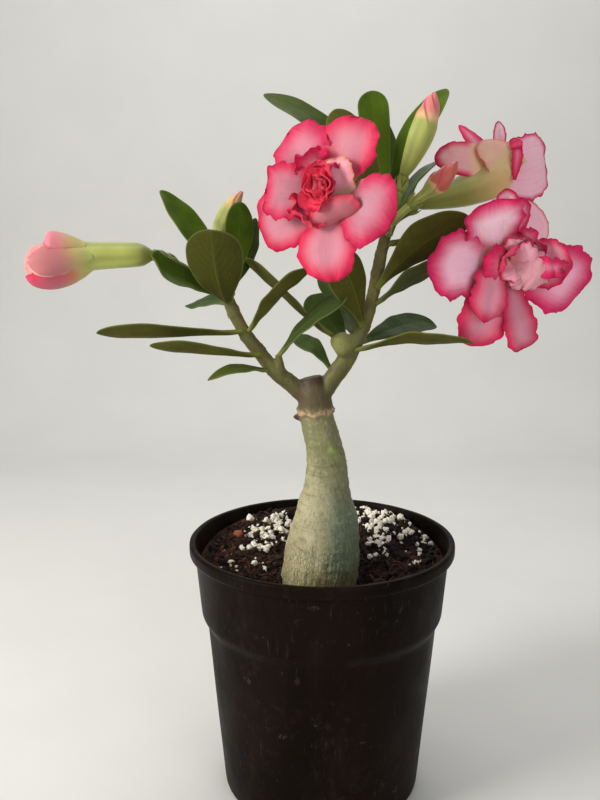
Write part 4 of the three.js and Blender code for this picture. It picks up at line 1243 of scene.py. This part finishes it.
# which way each flower looks, and the petals of its ruffled middle: the direction round the face from up, the centre
# line, the width, and what is particular to it; hub is a shifted starting point (clock, out, rise), roll curls its
# sides up, skip starts its colours further along
flowerFaces = dict(flower_front=(-0.42, -0.88, 0.16), flower_right=(0.24, -0.93, -0.25), flower_back=(0, -1, 0))
innerShape = dict(hub=(0, 0, 0), rows=44, columns=31, roll=0.7, ripple=0.9, waves=4.0, reach=5.0, recurve=0.4,
                  thickness=0.7, blunt=2.6, claw=0.4, tatter=0.03)
mass = dict(pale=0.2, warm=0.5, dusk=0.5, peach=0.15, skip=0.15)
innerPetals = dict(
    flower_front=[
        # the big petal that lies out to the left over the outer ones, and two crimson ones above it
        (272, [(5, 2, 0), (14, 7, 0), (22, 9, 0), (30, 8, 0)], 24, dict(
            claw=0.6, widest=0.6, roll=0.25, warm=0.5, dusk=0.45, deep=0.42, rimWidth=8.0, ripple=1.0, blunt=3.6,
            tatter=0.05, pleats=0.5)),
        (324, [(3, 0, 0), (12, 2, 0), (18, 7, 0), (19, 12, 0)], 17, dict(
            roll=0.6, warm=0.3, deep=0.0, dusk=0.0, rimWidth=11.0, ripple=1.5, waves=5.0, tatter=0.06)),
        (345, [(3, 0, 0), (8, 3, 0), (11, 8, 0), (10, 13, 0)], 14, dict(
            roll=0.8, warm=0.4, pale=0.2, deep=0.0, dusk=0.0, rimWidth=6.0, ripple=1.1)),
        # a smooth petal between the rosette and the upper right petal
        (346, [(0, 0, 0), (3, 4, 0), (8, 6, 0), (15, 6, 0)], 16, dict(
            hub=(95, 4.5, 1), roll=0.3, warm=0.5, pale=0.1, dusk=0.3, rimWidth=2.4, ripple=0.6, claw=0.8, cream=0.45,
            deep=0.08)),
        # a smooth petal at the lower right that folds back up over the throat, seen from outside
        (158, [(2, -2, 0), (7, -2, 0), (11, 1, 0), (12, 6, 0), (9, 9.5, 0), (3.5, 10, 0)], 23, dict(
            roll=0.35, warm=0.9, dusk=0.7, rimWidth=5.0, ripple=0.7, recurve=0.2, claw=0.75, blunt=4.0, widest=0.7,
            deep=0.38)),
        (222, [(3, -1, 0), (11, 2, 0), (15, 7, 0), (15, 13, 0)], 19, dict(
            roll=0.9, warm=1.0, rimWidth=8.0, ripple=1.4, coral=0.25, deep=0.2)),
        (246, [(3, 0, 0), (10, 5, 0), (15, 7.5, 0), (19, 9.5, 0)], 12, dict(
            roll=0.3, warm=1.0, ripple=1.5, coral=0.3, deep=0.2)),
        # crumpled coral that fills the bottom of the rosette, then the rosette
        (90, [(-5, 1, 0), (-2, 5, 0), (2, 5.5, 0), (5, 2, 0)], 12, dict(
            hub=(300, 3.6, 6), roll=-0.5, warm=1.0, rimWidth=3.0, coral=1.0, ripple=1.4, waves=7.0, reach=9.0,
            blunt=2.0, claw=0.6, deep=0.4, skip=0.4, dusk=0.0)),
    ] + [
        (clock, [(0.4, -5, 0), (2.2, 1, 0), (reach * 0.75, 5, 0), (reach, rise, 0)], width, dict(
            hub=(300, 3.6, 6), roll=1.0, warm=1.0, waves=3.0, coral=coral, blunt=2.2, tatter=0.04, deep=0.1, dusk=0.0))
        for clock, reach, rise, width, coral in (
            (10, 10, 6.5, 15, 0.8), (75, 6.5, 8, 14, 1.0), (140, 8.5, 6.5, 15, 0.9), (192, 10.5, 4.5, 15, 0.7),
            (255, 5.0, 7.5, 14, 0.7), (318, 7.5, 7.0, 14, 0.6), (40, 3.8, 9.5, 10, 1.0), (200, 3.6, 9.0, 10, 1.0))
    ],
    flower_right=[
        # the long petal that hangs down on the left of the middle, and a cupped one on the right
        (203, [(3, 0, -1), (9, 7, -5), (18, 10, -3), (29, 7, 1)], 19, dict(
            claw=0.55, widest=0.6, roll=-0.35, warm=0.45, dusk=0.5, deep=0.16, pleats=0.4, skip=0.3, ripple=1.0,
            blunt=3.4, tatter=0.06)),
        (93, [(3, 0, 0), (13, 2, 0), (21, 7, 0), (24, 14, 0)], 25, dict(
            roll=1.0, warm=0.35, rimWidth=5.5, ripple=0.8, recurve=1.4)),
        # the pale crumpled mass
        (112, [(1, 2, 0), (5, 9, 0), (12, 12, 0), (19, 9, 0)], 21, dict(
            mass, roll=-1.0, deep=0.08, rimWidth=1.0, ripple=0.8, waves=9.0, reach=9.0)),
        (142, [(1, 1, 0), (5, 8, 0), (11, 9, 0), (15, 6, 0)], 15, dict(
            mass, roll=-0.8, deep=0.1, rimWidth=1.2, waves=8.0, reach=8.0)),
        (66, [(1, 2, 0), (4, 8, 0), (8, 10, 0), (12, 8, 0)], 15, dict(
            roll=-0.5, pale=0.3, warm=0.6, dusk=0.4, rimWidth=1.5, ripple=0.7, waves=6.0, skip=0.15)),
        # the crimson ruffle at its right end
        (94, [(6, 4, 0), (12, 11, 0), (18, 13, 0), (22, 11, 0)], 10, dict(
            roll=0.8, warm=0.1, dusk=0.2, rimWidth=9.0, ripple=1.3, waves=6.0, tatter=0.07, skip=0.3)),
        (178, [(1, 1, 0), (4, 7, 0), (7, 10, 0), (9, 9, 0)], 12, dict(
            roll=-0.6, pale=0.2, warm=0.6, dusk=0.5, rimWidth=2.0, ripple=0.6, waves=6.0)),
        (300, [(1, 1, 0), (4, 5, 0), (6, 9, 0), (6, 12, 0)], 15, dict(roll=0.9, warm=0.2, rimWidth=8.0, ripple=0.8)),
        # crimson where the hanging petal comes out of the middle
        (262, [(0, 1, 0), (6, 6, 0), (11, 9, 0), (15, 8.5, 0)], 16, dict(
            roll=-0.4, warm=0.3, rimWidth=12.0, ripple=1.1, claw=0.8, tatter=0.07, skip=0.3, blunt=2.2)),
        # a pale petal at the top of the middle, the ruffled band above, and two narrow petals behind the upper one
        (30, [(1, 0, 0), (5, 3, 0), (9, 6, 0), (11, 9, 0)], 17, dict(
            roll=0.6, warm=0.3, pale=0.7, rimWidth=2.0, ripple=0.7, claw=0.7)),
        (60, [(3, -2, 0), (10, 0, 0), (14, 4, 0), (15, 8, 0)], 22, dict(
            roll=0.6, warm=0.1, rimWidth=8.0, ripple=1.2, tatter=0.06)),
        (352, [(5, -2, 0), (14, -4, 0), (22, -4, 0), (30, -2, 0)], 13, dict(
            roll=0.6, pale=0.9, rimWidth=2.6, ripple=0.4, blunt=2.4)),
        (13, [(5, -3, 0), (13, -5, 0), (20, -5.5, 0), (26, -5, 0)], 13, dict(
            roll=0.3, pale=0.5, rimWidth=4.5, ripple=0.5, blunt=2.4)),
    ],
    # the half-turned back flower: a small lobe behind, a crimson fold at the large one's edge, the flap above that
    flower_back=[
        (355, [(8, -3, 0), (17, -4, 0), (22, -4.5, 0), (26, -5, 0)], 6.4, dict(
            roll=0.6, rimWidth=1.0, pale=0.8, ripple=0.4, blunt=1.5)),
        (3, [(0, 0, 0), (5, 1, 0), (11, 1.5, 0), (17, 0, 0)], 5.5, dict(
            hub=(125, 4.6, 7.5), roll=0.9, rimWidth=5.0, warm=0.15, claw=0.3, ripple=0.4, skip=0.4, dusk=0.15,
            tatter=0.05)),
        (74, [(0, 0, 0), (2, 1.2, 0), (4.5, 1.4, 0), (6.5, 0, 0)], 4.2, dict(
            hub=(4, 12.5, 8.5), roll=-0.6, rimWidth=5.0, warm=0.3, claw=0.7, ripple=0.5, skip=0.4, dusk=0.2,
            tatter=0.06)),
    ],
)


def makePetalPaint():
    # pale heart, pink middle, crimson rim feathered inwards, a dark line at the very edge; duller underneath; dusk is
    # partly dusky pink and partly painted shade, and a near-black tint over it all is painted shade
    paint = Paint("deepRimmedPetal", Specular_IOR_Level=0.12, Subsurface_Weight=0.25, Sheen_Weight=0.08,
                  Sheen_Roughness=0.5, Subsurface_Radius=(0.004, 0.0015, 0.0015), Subsurface_Scale=0.4)
    tone, names = petalTones, ("along", "across", "edge", "upper", "seed") + petalTints
    along, across, edge, upper, seed, warm, pale, dusk, rimWidth, coral, cream, peach, deep, green = (
        paint.layer(name) for name in names)
    border = useGroup(rim, Edge=edge, Width=rimWidth, Across=across, Along=along, Ragged=0.22, Seed=seed)
    streak = border["Streak"]
    body = ramp(along, 0.1, 0.34)
    wide = calc("POWER", border["Mask"], 0.8) * body
    line = (1.0 - ramp(edge, 0.15, 0.9)) * body * (1.0 - cream)
    crimson = coats(tone["rim"], tone, (warm, "rimWarm"), (cream, "heart"))
    upperSide = coats(
        tone["middle"], tone, (warm, "middleWarm"), (pale, "pale"), (ramp(streak, 0.45, 0.8) * 0.26, "dusk"),
        (ramp(along, 0.34, 0.06), "heart"), (peach, "peach"), (wide, crimson))
    colour = coats(
        tone["under"], tone, (ramp(along, 0.55, 0.1), "underBase"), (peach, "peach"), (wide * 0.85, crimson),
        (upper, upperSide),
        # dusk: partly the petal's dusky pink, partly painted shade
        (dusk * 0.6 * (1.0 - wide * 0.8), "dusk"),
        (line * 0.45, "line"),
        (coral * 0.85, "coral"),
        (green * ramp(along, 0.5, 0.02), "green"),
        # painted shade: a near-black tint, weaker at the crimson rim
        (deep * (1.0 - wide * 0.5), "shade"))
    height = texture(trio(across * 26.0, along * 2.5, seed), 1.0) + paint.grain(0.45) * 0.35
    return paint.finish(colour, height, 0.1, ramp(streak, 0.3, 0.7, 0.5, 0.62))


petalPaint = makePetalPaint()


greenTones = dict(
    stalk=srgb(128, 136, 56), stalkDark=srgb(94, 102, 38), sepal=srgb(140, 146, 66), sepalTip=srgb(156, 112, 60),
    tubeLow=srgb(172, 180, 92), tubeDark=srgb(128, 132, 56), tubeLight=srgb(200, 206, 136), peach=srgb(216, 176, 122),
    pink=srgb(228, 142, 142), rose=srgb(186, 50, 84), orange=srgb(200, 98, 84), mouth=petalTones["rimWarm"])
stalkShape = dict(rows=34, sides=28, ribDepth=0.03)
sepalShape = dict(count=5, length=6.0, width=3.8, thickness=0.7, bend=0.9)
# blush is where along its length a tube or bud turns pink, over blushWidth; rosy pulls the pink to orange
tubeShape = dict(rows=44, sides=60, ribDepth=0.05, wall=0.8, throat=0.35, olive=0.0, blush=0.8, blushWidth=0.3)
tubeHabits = dict(flower_back_tube=dict(olive=0.5, blush=1.0, blushWidth=0.6))
stamenShape = dict(count=5, rows=14, sides=8, radius=0.32, length=9.0, sunk=7.0)
# girth: fraction along and radius; sag lowers the head; teeth and spiral lay the folded petals' edges round the tip,
# step is how far they stand out and fold how red they are
budShape = dict(rows=84, sides=96, ribDepth=0.05, sag=0.0)
budHabits = dict(
    bud_left=dict(
        girth=[(0, 1.9), (0.04, 3.6), (0.11, 5.3), (0.3, 5.9), (0.5, 6.5), (0.6, 7.8), (0.7, 9.4), (0.82, 10.0),
               (0.92, 8.8), (0.97, 6.6), (1, 2.6)],
        sag=3.2, blush=0.6, blushWidth=0.1, spiral=1.2, teeth=3, rosy=0.15, fold=0.25, step=0.06),
    bud_tall=dict(
        girth=[(0, 2.2), (0.1, 3.3), (0.3, 4.8), (0.5, 5.7), (0.68, 5.3), (0.82, 4.1), (0.93, 2.5), (1, 0.6)],
        blush=0.72, blushWidth=0.09, spiral=2.6, teeth=5, rosy=0.45, fold=1.0, step=0.17),
    bud_small=dict(
        girth=[(0, 1.6), (0.3, 2.0), (0.5, 2.4), (0.6, 3.8), (0.72, 4.7), (0.84, 3.8), (0.94, 1.9), (1, 0.5)],
        blush=0.64, blushWidth=0.04, spiral=2.2, teeth=4, rosy=1.0, fold=0.9, step=0.22),
    bud_behind=dict(
        girth=[(0, 1.5), (0.3, 2.2), (0.5, 3.9), (0.65, 5.0), (0.8, 4.3), (0.92, 2.8), (1, 0.7)],
        blush=0.9, blushWidth=0.12, spiral=1.4, teeth=4, rosy=0.05, fold=0.6, step=0.16),
)


def fan(axis, hint, count, turn):
    # directions spaced evenly round an axis, each with the one square to it
    across = unit(np.cross(axis, hint))
    other = np.cross(axis, across)
    for k in range(count):
        angle = fullTurn * k / count + turn
        outward = across * math.cos(angle) + other * math.sin(angle)
        yield outward, np.cross(axis, outward)


def sepalSkins(stem, where, seed):
    # small pointed leaves round the top of a stalk, each an arc section that follows the stalk's swelling
    p = sepalShape
    centre, radius = stemAt(stem, np.array([where, 1.0]))
    axis = unit(centre[1] - centre[0])
    s, t = np.linspace(0, 1, 16)[:, None], np.linspace(-1, 1, 9)[None]
    half = p["width"] / 2 * (1 - s**1.7) ** 0.8 * (0.75 + 0.5 * s * (1 - s)) + 0.08
    reach = radius[0] * 0.85 + 1.6 * s + 0.8 * np.sin(3 * s) - half * (1 - np.cos(p["bend"] * t)) * 0.8
    middle = centre[0] + axis * (p["length"] * s + 0 * t)[..., None]
    sideways = (half * np.sin(p["bend"] * t) / p["bend"])[..., None]
    thick = p["thickness"] * (1 - 0.6 * np.abs(t)) * (1 - 0.6 * s)
    return [sheetSkin(middle + outward * reach[..., None] + side * sideways, thick, stalkPaint, dict(tip=s))
            for outward, side in fan(axis, [0.3, 0.2, 0.9], p["count"], 0.4 * seed)]


def makeStalk(node, parent, seed):
    p, stem = stalkShape, readStem(node, parent)
    u = np.linspace(-0.08, 1.02, p["rows"])
    path, radii = stemAt(stem, u)
    radii = radii * (1 + 0.22 * smooth(u, 0.72, 0.95) - 0.12 * bell(u - 0.3, 0.2))
    ribbed = 1 + p["ribDepth"] * np.cos(5 * around(p["sides"]))
    body = gridSkin(tubeGrid(path, radii, p["sides"], ribbed), stalkPaint)
    makePiece(node.replace("_stalk", "_stem"), [body] + sepalSkins(stem, 0.7, seed), "stalk", node)


def makeTube(node, parent, seed):
    # an open funnel with 5 ribs: the outer wall, then from the mouth the inner wall back to a closed throat
    habit, stem = {**tubeShape, **tubeHabits.get(node, {})}, readStem(node, parent)
    u = np.linspace(-0.02, 1.02, habit["rows"])
    path, radii = stemAt(stem, u)
    ribs = np.cos(5 * around(habit["sides"]))
    outer = tubeGrid(path, radii, habit["sides"], 1 + habit["ribDepth"] * ribs)
    back = slice(None, int(habit["rows"] * habit["throat"]), -1)
    outward = (outer - path[:, None])[back]
    inner = path[back][:, None] + unit(outward) * (np.linalg.norm(outward, axis=-1, keepdims=True) - habit["wall"])
    inside = np.concatenate([0 * u, 1 + 0 * u[back]])[:, None]
    skins = [gridSkin(np.vstack([outer, inner]), tubePaint, layers=dict(
        along=np.concatenate([u, u[back]])[:, None], inner=inside, rosy=0.5,
        furrow=(0.5 - 0.5 * ribs) ** 2 * (1 - inside),
        **{name: habit[name] for name in ("blush", "blushWidth", "olive")}))]
    # thread-like tips of the stamens
    p, throat, axis = stamenShape, path[-1], unit(path[-1] - path[-4])
    s = np.linspace(0, 1, p["rows"])[:, None]
    for outward, side in fan(axis, [0.2, 0.3, 0.9], p["count"], seed):
        line = throat - axis * p["sunk"] + outward * 1.2 + axis * (p["length"] * s)
        line = line + outward * (1.4 * s**2) + side * (1.2 * np.sin(3 * s))
        skins.append(gridSkin(tubeGrid(line, p["radius"] * (1.1 - s[:, 0]), p["sides"]), tubePaint,
                              layers=dict(along=0.3, rosy=0.5, blush=0.6, blushWidth=0.3)))
    makePiece(node.replace("_tube", "_funnel"), skins, "tube", node)


def budLine(stem, habit, u):
    # centre points and radii of a bud, its head lowered by sag
    path, _ = stemAt(stem, u)
    girth = curveThrough(habit["girth"], 160)
    path = path - np.array([0, 0, 1.0]) * (habit["sag"] * smooth(u, 0.48, 0.78))[:, None]
    return path, np.interp(u, girth[:, 0], girth[:, 1])


def makeBud(node, parent, seed):
    # a closed bud: a round skin along its path whose radius steps up like a saw where one folded petal
    # overlaps the next; the steps wind round the tip
    habit, stem = {**budShape, **budHabits[node]}, readStem(node, parent)
    u, angle = 1 - (1 - np.linspace(0, 1, habit["rows"])) ** 1.2, around(habit["sides"])
    path, radii = budLine(stem, habit, u)
    u = u[:, None]
    head = smooth(u, habit["blush"] - 0.2, habit["blush"] + 0.1)
    turn = (angle * habit["teeth"] / fullTurn + habit["spiral"] * u**2 + 0.1 * np.sin(7 * u)) % 1
    step = np.where(turn < 0.9, turn / 0.9, (1 - turn) / 0.1)
    ribs = np.cos(5 * angle)
    swell = 1 + head * habit["step"] * (step - 0.5) + (1 - head) * habit["ribDepth"] * ribs * smooth(u, 0.02, 0.15)
    skins = [gridSkin(tubeGrid(path, radii, habit["sides"], swell), tubePaint, layers=dict(
        along=u, fold=bell(turn - 0.92, 0.07) * head * habit["fold"], furrow=(0.5 - 0.5 * ribs) ** 2 * (1 - head),
        **{name: habit[name] for name in ("rosy", "blush", "blushWidth")}))]
    if node == "bud_left":
        skins += [shellPetal(stem, habit, what, seed + k) for k, what in enumerate(openingPetals)]
    if node in ("bud_small", "bud_behind"):
        skins += sepalSkins(stem, 0.3, seed)
    makePiece(node.replace("bud", "flowerbud"), skins, "tube", node)


# petals wrapped round the head of the opening bud: start and end along the bud, angle of the middle, half-angle,
# how far they stand off the head, and how far they bulge; the last one is the dome that is set back above
openingShape = dict(rows=44, columns=35, length=22, width=24, widest=0.5, curl=0, thickness=0.8, ripple=0.35, warm=0.4)
openingPetals = [
    dict(claw=0.55, start=0.5, end=0.99, turn=-98, spread=82, lift=0.03, bulge=0.03, rimWidth=10.0, dusk=0.4,
         deep=0.34, green=0.7),
    dict(claw=0.6, start=0.46, end=0.975, turn=-11, spread=41, lift=0.07, bulge=0.06, curl=8, rimWidth=1.2, dusk=0.5,
         cream=1.0, peach=0.15, deep=0.32, green=1.0, blunt=3.5),
    dict(claw=0.9, start=0.5, end=0.88, turn=76, spread=62, lift=0.04, bulge=0.5, rimWidth=1.6, dusk=0.15, pale=0.35,
         deep=0.12, green=0.5, blunt=2.2, warm=0.3),
]


def shellPetal(stem, bud, what, seed):
    # point = centre(s) + radius(s) (0.94 rising to 1 + lift, + bulge sqrt(4 s (1 - s)) S-curve(s) cos(pi t / 2)^0.7)
    # direction(turn + spread width(s) t + curl s)
    habit = {**petalShape, **openingShape, **what}
    s = np.linspace(0, 1, habit["rows"])
    path, radii = budLine(stem, bud, habit["start"] + (habit["end"] - habit["start"]) * s)
    path = polyval(s, polyfit(s, path, 3)).T  # evened out
    t, half = evenSides(habit["columns"]), petalOutline(s, habit)
    edge, walk = rimDistance(s * habit["length"], half * habit["width"] / 2, t)
    layers = petalLayers(habit, s, t, edge, seed)
    s, width = s[:, None], half[:, None]
    # the painted shade grows away from the petal's base
    layers["deep"] = layers["deep"] * smooth(s, 0.05, 0.6)
    angle = np.radians(habit["turn"] + habit["spread"] * width * t + habit["curl"] * s)
    puff = habit["bulge"] * np.sqrt(4 * s * (1 - s)) * smooth(s, -0.25, 0.35) * np.cos(0.5 * math.pi * t) ** 0.7
    away = np.maximum(radii, 5.0)[:, None] * (0.94 + (0.06 + habit["lift"]) * smooth(s, 0, 0.2) + puff)
    away = away + habit["ripple"] * rippleOf(walk, habit["waves"], seed) * np.exp(-edge / 3.0) * smooth(s, 0.2, 0.5)
    thick = habit["thickness"] * (0.3 + 0.7 * np.minimum(1, edge / 2.5))
    return sheetSkin(path[:, None] + ringWays(path, angle) * away[..., None], thick, petalPaint, layers)


def makeStalkPaint():
    paint, tone = Paint("greenStalk", Specular_IOR_Level=0.4, Subsurface_Weight=0.08,
                        Subsurface_Radius=(0.001, 0.002, 0.0005)), greenTones
    spot, tip = paint.place(), paint.layer("tip")
    hairs = spots(spot, 1300.0, 0.35, 0.25)
    colour = coats(
        tone["stalk"], tone, (blotches(spot, 170.0, width=0.15), "stalkDark"), (ramp(tip, 0.0, 0.3), "sepal"),
        (ramp(tip, 0.7, 1.0) * 0.7, "sepalTip"), (hairs * 0.2, "tubeLight"))
    return paint.finish(colour, paint.grain() + hairs * 0.4, 0.14, ramp(noise(spot, 4), 0.3, 0.7, 0.45, 0.6))


def makeTubePaint():
    # green-yellow at the foot, peach then pink towards the petals, darker stripes between the ribs
    paint = Paint("flowerTube", Specular_IOR_Level=0.35, Subsurface_Weight=0.14, Sheen_Weight=0.15,
                  Subsurface_Radius=(0.002, 0.0015, 0.0006))
    spot, tone = paint.place(), greenTones
    along, blush, width, rosy, furrow, olive, fold, inner = (paint.layer(name) for name in (
        "along", "blush", "blushWidth", "rosy", "furrow", "olive", "fold", "inner"))
    noisy = along + (noise(spot, 5) - 0.5) * 0.12
    colour = coats(
        tone["tubeLow"], tone,
        (blotches(spot, 150.0) * 0.25, "tubeDark"), (furrow * 0.5, "tubeDark"), (olive * 0.8, "tubeDark"),
        (ramp(along, 0.25, 0.0), "stalk"),
        (ramp(noisy, blush - width, blush), "peach"),
        (ramp(noisy, blush, blush + width), mix(rosy, tone["pink"], tone["orange"])),
        (fold * 0.85, "rose"),
        (inner * 0.5, "mouth"))
    return paint.finish(colour, paint.grain(), 0.1, ramp(noise(spot, 3), 0.3, 0.7, 0.42, 0.56))


stalkPaint, tubePaint = makeStalkPaint(), makeTubePaint()


def makeFlower(flower, seed):
    stalk, tube, nearby = f"{flower}_stalk", f"{flower}_tube", 14
    stalkCloud, tubeCloud = trianglesOf(stalk)[:, 0], trianglesOf(tube)[:, 0]
    makeStalk(stalk, caudexCloud, seed)
    makeTube(tube, stalkCloud, seed)
    throat = stemAt(readStem(tube, stalkCloud), np.array([1.0]))[0][0]
    mouth = tubeCloud[((tubeCloud - throat) ** 2).sum(1) < nearby**2]
    for k in range(1, 6):
        makePetal(f"{flower}_petal_{k}", flower, mouth, seed + 10 * k)
    skins = [foldedPetal(flower, throat, *what, seed + 7 * k) for k, what in enumerate(innerPetals[flower])]
    node = f"{flower}_petal_3" if flower == "flower_back" else f"{flower}_inner_petals"
    makePiece(f"{flower}_middle", skins, "petal", node)


for count, name in enumerate(("flower_front", "flower_right", "flower_back")):
    makeFlower(name, firstSeeds["flower"] + 100 * count)
print("flowers made")
for count, name in enumerate(("bud_left_stalk", "bud_tall_stalk")):
    makeStalk(name, caudexCloud, firstSeeds["stalk"] + count)
for count, name in enumerate(("bud_left", "bud_tall", "bud_small", "bud_behind")):
    parent = f"{name}_stalk"
    makeBud(name, trianglesOf(parent)[:, 0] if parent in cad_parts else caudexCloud, firstSeeds["bud"] + count)
print("buds made")
